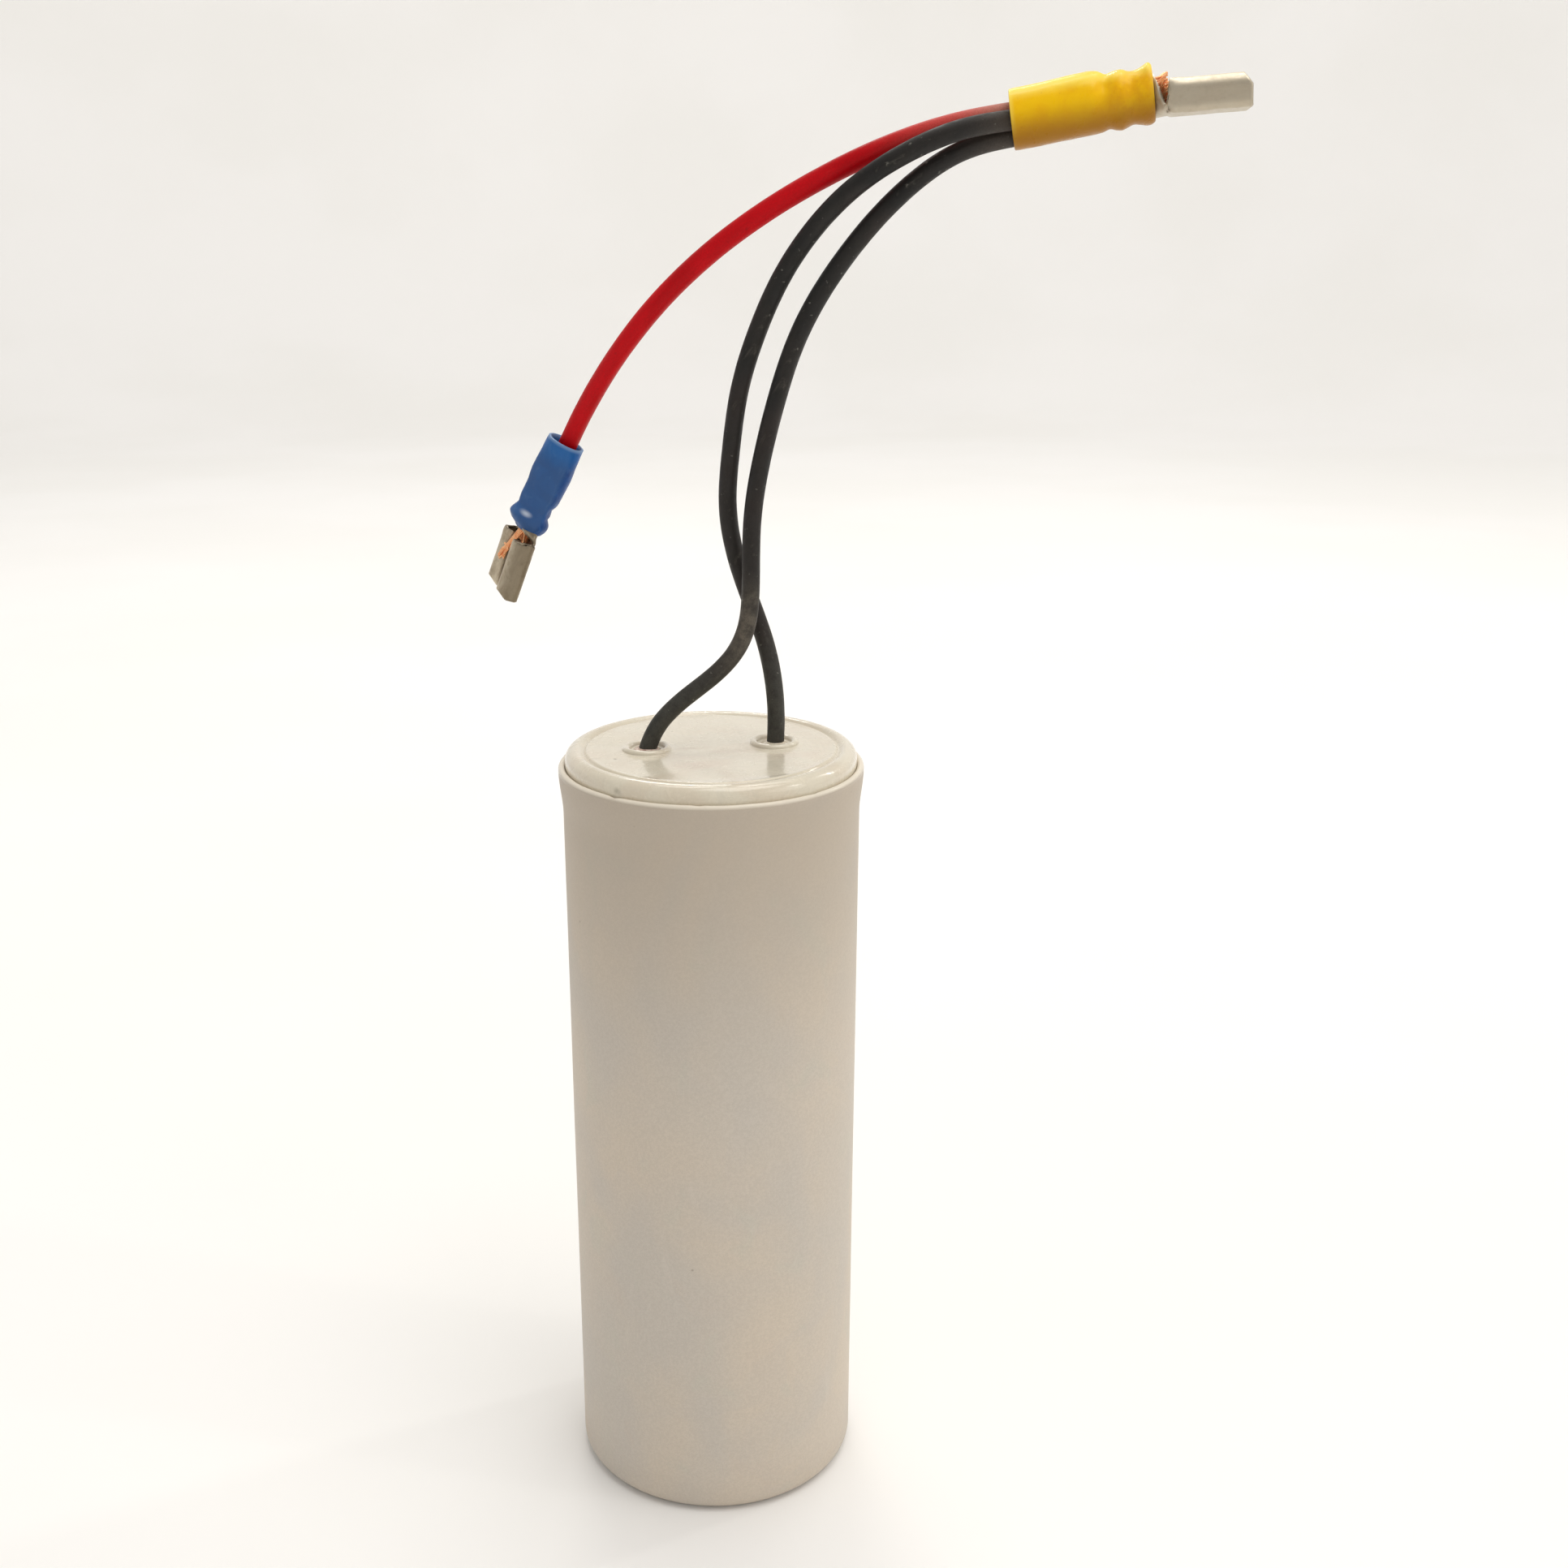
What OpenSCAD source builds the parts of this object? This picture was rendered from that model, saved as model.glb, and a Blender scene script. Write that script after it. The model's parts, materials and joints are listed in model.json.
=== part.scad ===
// Motor run capacitor with two flying leads and two insulated push-on terminals.
// Round moulded can, press-in lid with two lead collars, wound film element potted inside.
// Origin at the centre of the can's base, +Z up the can, the two collars on the X axis.

/* [Can] */
// Outside radius of the straight part of the can
can_r = 18; // [17.5:0.25:18.5]
// Height of the can's lip above the base
can_h = 95; // [94:0.5:96]
// Wall thickness of the can
can_wall = 1.2; // [1:0.1:1.4]
// Thickness of the can's floor
can_floor = 1.5; // [1:0.1:2]
// Radius of the rounded edge at the base
base_fillet = 2; // [1:0.25:3]
// How far the lip flares out past the straight wall
lip_flare = 0.45; // [0.2:0.05:0.6]
// Height over which the flare grows
flare_h = 5.5; // [3:0.5:8]

/* [Lid] */
// Distance of the lid's seat below the lip
seat_depth = 3; // [2.5:0.25:3.5]
// Gap in radius between the can's straight outside and the lid's edge
lid_inset = 0.4; // [0.35:0.05:0.5]
// Radius of the bull-nose round the edge of the lid
nose_r = 1.4; // [1.2:0.1:1.5]
// Height of the lid's flat field above the can's lip
field_h = 1.8; // [1.5:0.1:2]
// Thickness of the lid's flat field
field_t = 2; // [1.6:0.1:2.2]
// Distance of each lead collar from the centre
collar_x = 7.75; // [7:0.25:8.5]
// Outside radius of a lead collar
collar_r = 2.95; // [2.8:0.05:3.2]
// Height of a lead collar above the flat field
collar_h = 0.6; // [0.4:0.1:0.8]
// Radius of the hole in a collar
collar_bore = 1.7; // [1.6:0.05:1.8]

/* [Element] */
// Outside radius of the wound film
film_r = 14.4; // [14:0.1:14.6]
// Length of the wound film
film_h = 78; // [74:1:79]
// Thickness of each sprayed metal end
spray_t = 0.7; // [0.4:0.1:1]
// Outside radius of the winding core
core_r = 3; // [2.8:0.1:3.4]
// Inside radius of the winding core
core_bore = 2; // [1.8:0.1:2.2]
// Thickness of the outer wrap
wrap_t = 0.4; // [0.2:0.1:0.6]
// Height of the lower sprayed end above the base
element_z = 5.3; // [5:0.1:6]
// Radius of the bare lead tails inside the can
tail_r = 0.6; // [0.5:0.05:0.7]

/* [Leads] */
// Outside radius of a black lead
black_r = 1.05; // [1:0.01:1.07]
// Outside radius of the red lead
red_r = 1.15; // [1.1:0.01:1.16]

/* [Yellow terminal] */
// Length of the yellow sleeve
yel_len = 14.4; // [14.2:0.1:14.6]
// Outside radius of the yellow sleeve at its wire end
yel_r = 3.2; // [3.15:0.05:3.3]
// Width of the yellow receptacle
yel_w = 7.8; // [7.6:0.1:8]
// Height of the yellow receptacle
yel_h = 3.4; // [3.2:0.1:3.6]
// Length of the yellow receptacle's box
yel_box = 7.7; // [7.4:0.1:8]

/* [Blue terminal] */
// Length of the blue sleeve
blu_len = 11.6; // [11.4:0.1:11.8]
// Thickness of the blue sleeve across its flattened sides
blu_t = 4.4; // [4.3:0.1:4.6]
// Width of the blue sleeve
blu_w = 5.6; // [5.5:0.1:5.8]
// Width of the blue receptacle
blu_box_w = 7.6; // [7.4:0.1:7.7]
// Height of the blue receptacle
blu_h = 2.8; // [2.7:0.1:3]
// Length of the blue receptacle's box
blu_box = 7.2; // [7:0.1:7.6]

/* [Hidden] */
$fn = 64;

can_in = can_r - can_wall;                // inside radius of the can
lid_r = can_r - lid_inset;                // radius of the lid's edge
seat_z = can_h - seat_depth;              // seat that the lid's skirt stands on
field_z = can_h + field_h;                // top of the lid's flat field
under_z = field_z - field_t;              // underside of the lid's flat field
skirt_r = lid_r - 2;                      // inside radius of the lid's skirt
spray_r = film_r + wrap_t;                // outside radius of the wrapped element
film_z = element_z + spray_t;             // lower end of the wound film
top_z = film_z + film_h;                  // upper end of the wound film
element_top = top_z + spray_t;            // upper face of the element
cross_z = 91;                             // height where the lower tail crosses to its lead
sheet = 0.4;                              // thickness of the terminals' sheet metal

// ---- where the two terminals are ----
yel_at = [30.6, -12.1, 166.7];            // middle of the yellow sleeve's wire end
yel_rot = [0, -9, -20];                   // its local X runs down the sleeve
yel_tip_rot = [0, -4, -20];               // the receptacle is bent down a little at its neck
yel_neck = 16.2;                          // distance of the receptacle's box from the sleeve's wire end
yel_drop = -2.35;                         // height of the box's base there
blu_at = [-15.2, 13.5, 131.8];            // middle of the blue sleeve's wire end
blu_rot = [-27, 63.5, 162];
blu_tip_rot = [-27, 68.5, 162];
blu_neck = 12.9;
blu_drop = -0.9;

// a point of a rotated local frame, in the part's own frame
function rot_x(p, a) = [p[0], p[1] * cos(a) - p[2] * sin(a), p[1] * sin(a) + p[2] * cos(a)];
function rot_y(p, a) = [p[0] * cos(a) + p[2] * sin(a), p[1], -p[0] * sin(a) + p[2] * cos(a)];
function rot_z(p, a) = [p[0] * cos(a) - p[1] * sin(a), p[0] * sin(a) + p[1] * cos(a), p[2]];
function place(at, r, p) = at + rot_z(rot_y(rot_x(p, r[0]), r[1]), r[2]);

// ---- routes of the leads, as control points of a smooth curve ----
lead_in = 4;                              // how far each lead runs into its sleeve
right_route = concat([
    [collar_x, 0, under_z], [8, 0, 98], [8, 0, 103], [7, 0.5, 109], [5, 1.5, 114.5],
    [3, 1, 120], [2, 0.5, 126], [2.5, -1, 132.5], [3, -2.5, 139], [5, -4.5, 146],
    [8, -6.5, 153], [13, -9.5, 159.5], [19, -11.5, 163.5], [25, -13, 166]],
    [place(yel_at, yel_rot, [0, -1.05, -0.1]), place(yel_at, yel_rot, [lead_in, -1.05, -0.1])]);
left_route = concat([
    [-collar_x - 0.5, 0, under_z], [-collar_x, 0, 97], [-6.5, 0, 100], [-3.5, -0.5, 103], [0, -1, 105.5],
    [3, -1.5, 108.5], [4.5, -2, 112.5], [4.5, -2.5, 118.5], [4.5, -2.5, 124.5], [5.5, -3, 131],
    [7, -4.5, 138], [9, -6.5, 145.5], [13, -8.5, 152.5], [18.5, -9.5, 159], [25, -10.5, 164]],
    [place(yel_at, yel_rot, [0, 0.5, -1.6]), place(yel_at, yel_rot, [lead_in, 0.5, -1.6])]);
red_route = concat(
    [place(yel_at, yel_rot, [lead_in, 1.05, 0.7]), place(yel_at, yel_rot, [0, 1.05, 0.7])],
    [[25, -10.5, 166.5], [18.5, -8.5, 164.5], [12, -6.5, 161.5], [6, -4, 158], [0, -0.5, 153.5],
     [-5, 3, 148.5], [-9.5, 7, 142.5], [-13, 11.5, 136]],
    [place(blu_at, blu_rot, [0, 0, -0.3]), place(blu_at, blu_rot, [lead_in, 0, -0.3])]);

// cubic B-spline through the route's ends, and its direction
function unit(v) = v / norm(v);
function clamped(c) = concat([2 * c[0] - c[1]], c, [2 * c[len(c) - 1] - c[len(c) - 2]]);
function spline(q, i, t) = (pow(1 - t, 3) * q[i] + (3 * t * t * t - 6 * t * t + 4) * q[i + 1]
    + (-3 * t * t * t + 3 * t * t + 3 * t + 1) * q[i + 2] + t * t * t * q[i + 3]) / 6;
function slope(q, i, t) = unit((-(1 - t) * (1 - t) * q[i] + (3 * t * t - 4 * t) * q[i + 1]
    + (-3 * t * t + 2 * t + 1) * q[i + 2] + t * t * q[i + 3]) / 2);
// one ring at each end span's start, two in every other span
function stations(c) = let (n = len(c) - 1)
    [for (i = [0:n - 1]) for (t = (i == 0 || i == n - 1) ? [0] : [0, 0.5]) [i, t], [n - 1, 1]];
// the side direction is carried along the route without twisting
function carried(v, d) = unit(v - (v * d) * d);
function sides(dirs, i, v) = i >= len(dirs) ? [] : let (w = carried(v, dirs[i])) concat([w], sides(dirs, i + 1, w));

// the first ring is square to d0, where that is given, so that the end lies flat
module lead_tube(route, r, d0 = undef) {
    k = 8;
    q = clamped(route);
    st = stations(route);
    mid = [for (s = st) spline(q, s[0], s[1])];
    dirs = [for (i = [0:len(st) - 1]) i == 0 && !is_undef(d0) ? d0 : slope(q, st[i][0], st[i][1])];
    side = sides(dirs, 0, [0, 1, 0]);
    pts = [for (i = [0:len(st) - 1]) for (j = [0:k - 1])
        mid[i] + r * (cos(360 * j / k) * side[i] + sin(360 * j / k) * cross(dirs[i], side[i]))];
    last = (len(st) - 1) * k;
    polyhedron(pts, concat(
        [[for (j = [0:k - 1]) j]],
        [for (i = [0:len(st) - 2]) for (j = [0:k - 1])
            each [[i * k + j, (i + 1) * k + (j + 1) % k, i * k + (j + 1) % k],
                  [i * k + j, (i + 1) * k + j, (i + 1) * k + (j + 1) % k]]],
        [[for (j = [k - 1:-1:0]) last + j]]), convexity = 6);
}

// ---- can and lid ----
// flare of the lip: 0 below it, 1 at its widest
function ease(t) = t * t * (3 - 2 * t);
flare_pts = [for (i = [1:8]) let (t = i / 8)
    [can_r + lip_flare * ease(t), can_h - 0.4 - flare_h * (1 - t)]];
lip_c = (can_r + lip_flare + lid_r) / 2;  // middle of the rounded lip
lip_w = (can_r + lip_flare - lid_r) / 2;
lip_pts = [for (a = [15:15:165]) [lip_c + lip_w * cos(a), can_h - 0.4 + 0.5 * sin(a)]];

module can() {
    color([0.80, 0.77, 0.72])
    rotate_extrude($fn = 96) polygon(concat(
        [[0, 0], [can_r - base_fillet, 0]],
        [for (a = [-75:15:0]) [can_r - base_fillet + base_fillet * cos(a), base_fillet + base_fillet * sin(a)]],
        [[can_r, can_h - 0.4 - flare_h]], flare_pts, lip_pts,
        [[lid_r, can_h - 0.4], [lid_r, seat_z], [can_in, seat_z], [can_in, can_floor + 1], [can_in - 1, can_floor], [0, can_floor]]));
}

nose_c = [lid_r - nose_r, can_h + 2 - nose_r]; // centre of the bull-nose
module lid() {
    color([0.86, 0.83, 0.77])
    difference() {
        union() {
            rotate_extrude($fn = 96) polygon(concat(
                [[0, under_z], [skirt_r, under_z], [skirt_r, seat_z], [lid_r, seat_z]],
                [for (a = [0:10:110]) nose_c + nose_r * [cos(a), sin(a)]],
                [[nose_c[0] - 0.75, field_z - 0.08], [nose_c[0] - 0.95, field_z + 0.05], [nose_c[0] - 1.2, field_z], [0, field_z]]));
            for (s = [-1, 1]) translate([s * collar_x, 0, 0]) rotate_extrude($fn = 48) polygon(concat(
                [[0, field_z - 0.5], [collar_r, field_z - 0.5], [collar_r, field_z + 0.1]],
                [for (a = [0:20:180]) [collar_r - 0.45 + 0.4 * cos(a), field_z + 0.2 + (collar_h - 0.2) * sin(a)]],
                [[collar_bore, field_z + 0.2], [0, field_z + 0.2]]));
        }
        for (s = [-1, 1]) translate([s * collar_x, 0, under_z - 1]) cylinder(r = collar_bore, h = field_t + 3);
    }
}

// resin that closes a collar round its lead
module seal(s) {
    difference() {
        translate([s * collar_x, 0, under_z + 0.4]) cylinder(r = collar_bore, h = field_t - 0.3);
        if (s < 0) lead_tube(left_route, black_r, [0, 0, 1]); else lead_tube(right_route, black_r, [0, 0, 1]);
    }
}
module seal_left() { color([0.72, 0.58, 0.52]) seal(-1); }
module seal_right() { color([0.78, 0.72, 0.66]) seal(1); }

// ---- inside the can ----
module potting() {
    color([0.35, 0.33, 0.30])
    difference() {
        union() {
            rotate_extrude($fn = 96) polygon([[0, can_floor], [can_in - 1, can_floor], [can_in, can_floor + 1], [can_in, seat_z], [0, seat_z]]);
            translate([0, 0, seat_z - 1]) cylinder(r = skirt_r, h = under_z - seat_z + 1);
        }
        translate([0, 0, element_z]) cylinder(r = spray_r, h = element_top - element_z);
        solder_at(-1);
        solder_at(1);
        top_path();
        bottom_path();
        translate([0, 0, element_z]) cylinder(r = 1.5, h = cross_z - 1 - element_z);
    }
}

module outer_wrap() {
    color([0.93, 0.86, 0.55])
    translate([0, 0, element_z]) difference() {
        cylinder(r = spray_r, h = element_top - element_z);
        translate([0, 0, -1]) cylinder(r = film_r, h = element_top - element_z + 2);
    }
}

module film_winding() {
    color([0.75, 0.77, 0.80])
    translate([0, 0, film_z]) difference() {
        cylinder(r = film_r, h = film_h);
        translate([0, 0, -1]) cylinder(r = core_r, h = film_h + 2);
    }
}

module winding_core() {
    color([0.90, 0.90, 0.88])
    translate([0, 0, element_z]) difference() {
        cylinder(r = core_r, h = element_top - element_z);
        translate([0, 0, -1]) cylinder(r = core_bore, h = element_top - element_z + 2);
    }
}

module end_spray(z) {
    color([0.55, 0.56, 0.58])
    translate([0, 0, z]) difference() {
        cylinder(r = film_r, h = spray_t);
        translate([0, 0, -1]) cylinder(r = core_r, h = spray_t + 2);
    }
}
module end_spray_top() { end_spray(top_z); }
module end_spray_bottom() { end_spray(element_z); }

// bare tail from the left lead straight down to the upper sprayed end
module top_path() {
    translate([-collar_x - 0.5, 0, element_top]) cylinder(r = tail_r, h = under_z - element_top);
}
// bare tail from the right lead, across, down through the core and out under the lower sprayed end
module bottom_path() {
    low = element_z - tail_r;
    translate([collar_x, 0, cross_z]) { cylinder(r = tail_r, h = under_z - cross_z); sphere(r = tail_r); }
    translate([0, 0, cross_z]) { rotate([0, 90, 0]) cylinder(r = tail_r, h = collar_x); sphere(r = tail_r); }
    translate([0, 0, low]) { cylinder(r = tail_r, h = cross_z - low); sphere(r = tail_r); }
    translate([0, 0, low]) rotate([0, 90, 0]) cylinder(r = tail_r, h = 6);
}
module tail_top() { color([0.80, 0.52, 0.36]) top_path(); }
module tail_bottom() { color([0.80, 0.52, 0.36]) bottom_path(); }

// insulating sleeve on the tail where it runs through the core
module tail_sleeve() {
    color([0.95, 0.95, 0.93])
    translate([0, 0, element_z]) difference() {
        cylinder(r = 1.5, h = cross_z - 1 - element_z);
        translate([0, 0, -1]) cylinder(r = tail_r, h = cross_z);
    }
}

// solder joint of a tail on a sprayed end: 1 is the upper, -1 the lower
module solder_at(s) {
    if (s > 0) translate([-collar_x - 0.5, 0, element_top]) cylinder(r1 = 2.2, r2 = 1.2, h = 1.6);
    else translate([5.5, 0, element_z - 1.9]) cylinder(r1 = 1.4, r2 = 2.2, h = 1.9);
}
module solder_top() { color([0.70, 0.70, 0.72]) difference() { solder_at(1); top_path(); } }
module solder_bottom() { color([0.70, 0.70, 0.72]) difference() { solder_at(-1); bottom_path(); } }

// ---- leads ----
module black_lead_left() { color([0.16, 0.16, 0.16]) lead_tube(left_route, black_r, [0, 0, 1]); }
module black_lead_right() { color([0.16, 0.16, 0.16]) lead_tube(right_route, black_r, [0, 0, 1]); }
module red_lead() { color([0.78, 0.13, 0.14]) lead_tube(red_route, red_r); }

// ---- terminals: local X runs from the wire end to the mouth, Z towards the rolled side ----
// section of a push-on receptacle: flat base, sides rolled up and over, drawn in X and Y
function inner_arc(w, h, r, a0, a1, n) = [for (i = [0:n]) let (a = a0 + (a1 - a0) * i / n) [w + r * cos(a), h + r * sin(a)]];
module receptacle_section(w, h) {
    low = 0.7;                       // outside radius of the lower corners
    top = (h - low) * 0.45 + 0.15;   // outside radius of the rolls
    half = concat(
        [[0, 0]], inner_arc(w / 2 - low, low, low, -90, 0, 4), inner_arc(w / 2 - top, h - top, top, 0, 205, 14),
        inner_arc(w / 2 - top, h - top, top - sheet, 205, 0, 14), inner_arc(w / 2 - low, low, low - sheet, 0, -90, 4), [[0, sheet]]);
    polygon(half);
    mirror([1, 0]) polygon(half);
}
module receptacle_box(w, h, l) {
    difference() {
        rotate([90, 0, 90]) linear_extrude(l) receptacle_section(w, h);
        // the rolls are cut back at an angle at the mouth
        translate([l, -w, h]) rotate([0, 45, 0]) cube([2.4, 2 * w, 2.4], center = false);
        translate([l - 0.9, -w, h + 0.05]) rotate([0, 42, 0]) cube([3, 2 * w, 3]);
    }
}

// vinyl sleeve of the yellow terminal, waisted by the crimping tool, flared at its end
yel_barrel_r = 2.4;
yel_barrel_in = 1.9;
yel_barrel_x = lead_in + 0.4;
module yellow_sleeve() {
    color([0.95, 0.78, 0.05])
    translate(yel_at) rotate(yel_rot) rotate([0, 90, 0]) rotate_extrude($fn = 64) polygon([
        [2.75, 0], [yel_r - 0.15, 0], [yel_r, 0.2], [yel_r + 0.1, 2.5], [yel_r + 0.25, 6], [yel_r + 0.3, 8],
        [yel_r, 9.4], [yel_r + 0.15, 10.6], [yel_r - 0.1, 11.6], [yel_r - 0.2, 12.6], [yel_r + 0.1, 13.8],
        [yel_r + 0.3, yel_len - 0.5], [yel_r + 0.1, yel_len], [yel_barrel_r, yel_len - 0.3],
        [yel_barrel_r, yel_barrel_x], [2.75, yel_barrel_x]]);
}
// tinned receptacle: crimp barrel, open trough and rolled box
module yellow_receptacle() {
    color([0.80, 0.79, 0.76])
    union() {
        translate(yel_at) rotate(yel_rot) difference() {
            translate([yel_barrel_x, 0, 0]) rotate([0, 90, 0]) cylinder(r = yel_barrel_r, h = yel_neck + 0.4 - yel_barrel_x);
            translate([0, 0, 0]) rotate([0, 90, 0]) cylinder(r = yel_barrel_in, h = 30);
            translate([yel_len - 0.4, -5, -0.6]) cube([10, 10, 10]);
        }
        translate(place(yel_at, yel_rot, [yel_neck, 0, yel_drop])) rotate(yel_tip_rot) receptacle_box(yel_w, yel_h, yel_box);
    }
}
module yellow_strands() {
    color([0.85, 0.50, 0.34])
    translate(yel_at) rotate(yel_rot) difference() {
        translate([lead_in, 0, 0]) rotate([0, 90, 0]) cylinder(r = yel_barrel_in, h = yel_neck - 0.1 - lead_in);
        // the bundle thins where it lies open in the trough
        translate([yel_len + 0.4, -5, 1.4]) rotate([0, 25, 0]) cube([10, 10, 10]);
    }
}

// flattened round outline, l wide along Y and t thick along Z, extruded along X
module stadium(l, t, h) {
    rotate([90, 0, 90]) linear_extrude(h) {
        square([l - t, t], center = true);
        for (s = [-1, 1]) translate([s * (l - t) / 2, 0]) circle(d = t);
    }
}
blu_barrel_x = lead_in + 0.4;
blu_barrel_w = 4.4;
blu_barrel_t = 3.2;
module blue_sleeve() {
    color([0.13, 0.33, 0.62])
    translate(blu_at) rotate(blu_rot) difference() {
        union() {
            stadium(blu_w, blu_t, blu_len - 2.6);
            translate([blu_len - 2.8, 0, 0]) stadium(blu_w - 0.2, blu_t - 0.25, 1);
            translate([blu_len - 2, 0, 0]) stadium(blu_w, blu_t, 1.5);
            translate([blu_len - 0.7, 0, 0]) stadium(blu_w - 0.6, blu_t - 0.5, 0.7);
        }
        translate([-1, 0, 0]) stadium(4.4, 3.2, 1 + blu_barrel_x);
        translate([blu_barrel_x - 0.1, 0, 0]) stadium(blu_barrel_w, blu_barrel_t, 20);
    }
}
module blue_receptacle() {
    color([0.78, 0.74, 0.68])
    union() {
        translate(blu_at) rotate(blu_rot) difference() {
            translate([blu_barrel_x, 0, 0]) stadium(blu_barrel_w, blu_barrel_t, blu_len + 0.2 - blu_barrel_x);
            stadium(blu_barrel_w - 2 * sheet, blu_barrel_t - 2 * sheet, 30);
        }
        // neck that rises from the barrel's underside to the box
        hull() {
            translate(blu_at) rotate(blu_rot) translate([blu_len - 0.4, -0.6, -blu_barrel_t / 2]) cube([0.5, 1.2, sheet]);
            translate(place(blu_at, blu_rot, [blu_neck, 0, blu_drop])) rotate(blu_tip_rot) translate([0, -2.4, 0]) cube([0.4, 4.8, sheet]);
        }
        translate(place(blu_at, blu_rot, [blu_neck, 0, blu_drop])) rotate(blu_tip_rot) receptacle_box(blu_box_w, blu_h, blu_box);
    }
}
module blue_strands() {
    color([0.85, 0.50, 0.34])
    translate(blu_at) rotate(blu_rot)
        translate([lead_in, 0, 0]) stadium(blu_barrel_w - 2 * sheet, blu_barrel_t - 2 * sheet, blu_len - 0.4 - lead_in);
    // stray strands stand out over the gap between the rolled sides
    translate(place(blu_at, blu_rot, [blu_neck, 0, blu_drop])) rotate(blu_tip_rot) translate([-2.3, 0, 0.5]) rotate([0, -17, -12]) cube([5.8, 0.8, 0.5]);
}

can();
lid();
seal_left();
seal_right();
potting();
outer_wrap();
film_winding();
winding_core();
end_spray_top();
end_spray_bottom();
tail_top();
tail_bottom();
tail_sleeve();
solder_top();
solder_bottom();
black_lead_left();
black_lead_right();
red_lead();
yellow_sleeve();
yellow_receptacle();
yellow_strands();
blue_sleeve();
blue_receptacle();
blue_strands();
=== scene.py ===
import json
import math

import bpy
import numpy as np
from mathutils import Matrix, Vector, noise
from mathutils.geometry import delaunay_2d_cdt

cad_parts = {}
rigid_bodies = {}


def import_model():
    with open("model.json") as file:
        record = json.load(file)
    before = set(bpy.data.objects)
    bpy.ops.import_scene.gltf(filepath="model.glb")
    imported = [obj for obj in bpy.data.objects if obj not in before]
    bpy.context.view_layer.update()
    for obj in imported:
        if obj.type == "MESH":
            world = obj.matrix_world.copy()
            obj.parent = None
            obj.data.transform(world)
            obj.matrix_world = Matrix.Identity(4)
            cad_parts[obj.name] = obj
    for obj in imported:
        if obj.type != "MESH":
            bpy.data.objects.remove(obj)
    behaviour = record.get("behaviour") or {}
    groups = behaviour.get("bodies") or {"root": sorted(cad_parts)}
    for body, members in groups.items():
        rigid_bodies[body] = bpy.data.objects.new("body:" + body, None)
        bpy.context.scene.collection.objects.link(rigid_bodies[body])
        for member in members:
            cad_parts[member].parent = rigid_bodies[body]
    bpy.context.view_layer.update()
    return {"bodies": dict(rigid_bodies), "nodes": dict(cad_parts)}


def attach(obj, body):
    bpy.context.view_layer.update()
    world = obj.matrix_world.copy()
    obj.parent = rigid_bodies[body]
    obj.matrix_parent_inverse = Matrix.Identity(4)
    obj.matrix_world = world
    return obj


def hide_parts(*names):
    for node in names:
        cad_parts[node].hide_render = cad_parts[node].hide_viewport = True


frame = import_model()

scene = bpy.context.scene
scene.view_settings.view_transform = "Standard"
scene.view_settings.look = "None"
MM = 0.001

# ------------------------------------------------------------------ camera
HEAD = np.array([0.16672, 0.98600, 0.0])
PITCH, ROLL = 0.322077, -0.00400375
FOCAL, SIDE = 2210.53, 1932.0
fwd = np.array([HEAD[0] * math.cos(PITCH), HEAD[1] * math.cos(PITCH), -math.sin(PITCH)])
fwd /= np.linalg.norm(fwd)
right = np.array([0.98600, -0.16672, 0.0])
right /= np.linalg.norm(right)
up = np.cross(right, fwd)
right2 = math.cos(ROLL) * right + math.sin(ROLL) * up
up2 = -math.sin(ROLL) * right + math.cos(ROLL) * up
cam_data = bpy.data.cameras.new("camera")
cam_data.sensor_fit = "HORIZONTAL"
cam_data.sensor_width = 36.0
cam_data.lens = FOCAL / SIDE * 36.0
cam_data.shift_x = (SIDE / 2 - 908.0) / SIDE
cam_data.shift_y = (1024.0 - SIDE / 2) / SIDE
cam_data.clip_start, cam_data.clip_end = 0.01, 50.0
cam = bpy.data.objects.new("camera", cam_data)
scene.collection.objects.link(cam)
cam.matrix_world = Matrix((
    (right2[0], up2[0], -fwd[0], -0.031715),
    (right2[1], up2[1], -fwd[1], -0.206071),
    (right2[2], up2[2], -fwd[2], 0.155643),
    (0, 0, 0, 1)))
scene.camera = cam


# ------------------------------------------------------------------ small maths
def rot(rx, ry, rz):
    rx, ry, rz = np.radians([rx, ry, rz])
    cx, sx, cy, sy, cz, sz = np.cos(rx), np.sin(rx), np.cos(ry), np.sin(ry), np.cos(rz), np.sin(rz)
    X = np.array([[1, 0, 0], [0, cx, -sx], [0, sx, cx]])
    Y = np.array([[cy, 0, sy], [0, 1, 0], [-sy, 0, cy]])
    Z = np.array([[cz, -sz, 0], [sz, cz, 0], [0, 0, 1]])
    return Z @ Y @ X


def ease(t):
    t = min(1.0, max(0.0, t))
    return t * t * (3 - 2 * t)


def gauss(x, s):
    return math.exp(-0.5 * (x / s) ** 2)


def fbm(x, y, z, octaves=3):
    return noise.fractal(Vector((x, y, z)), 1.0, 2.0, octaves, noise_basis="PERLIN_ORIGINAL")


def curve(table, x):
    """Smooth value of a table of (x, y) points (Catmull-Rom)."""
    xs = [p[0] for p in table]
    if x <= xs[0]:
        return table[0][1]
    if x >= xs[-1]:
        return table[-1][1]
    i = max(k for k in range(len(xs) - 1) if xs[k] <= x)
    p1, p2 = table[i], table[i + 1]
    p0 = table[i - 1] if i > 0 else p1
    p3 = table[i + 2] if i + 2 < len(table) else p2
    h = p2[0] - p1[0]
    m1 = (p2[1] - p0[1]) / max(1e-9, p2[0] - p0[0]) * h
    m2 = (p3[1] - p1[1]) / max(1e-9, p3[0] - p1[0]) * h
    t = (x - p1[0]) / h
    return ((2 * t ** 3 - 3 * t * t + 1) * p1[1] + (t ** 3 - 2 * t * t + t) * m1
            + (-2 * t ** 3 + 3 * t * t) * p2[1] + (t ** 3 - t * t) * m2)


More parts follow.
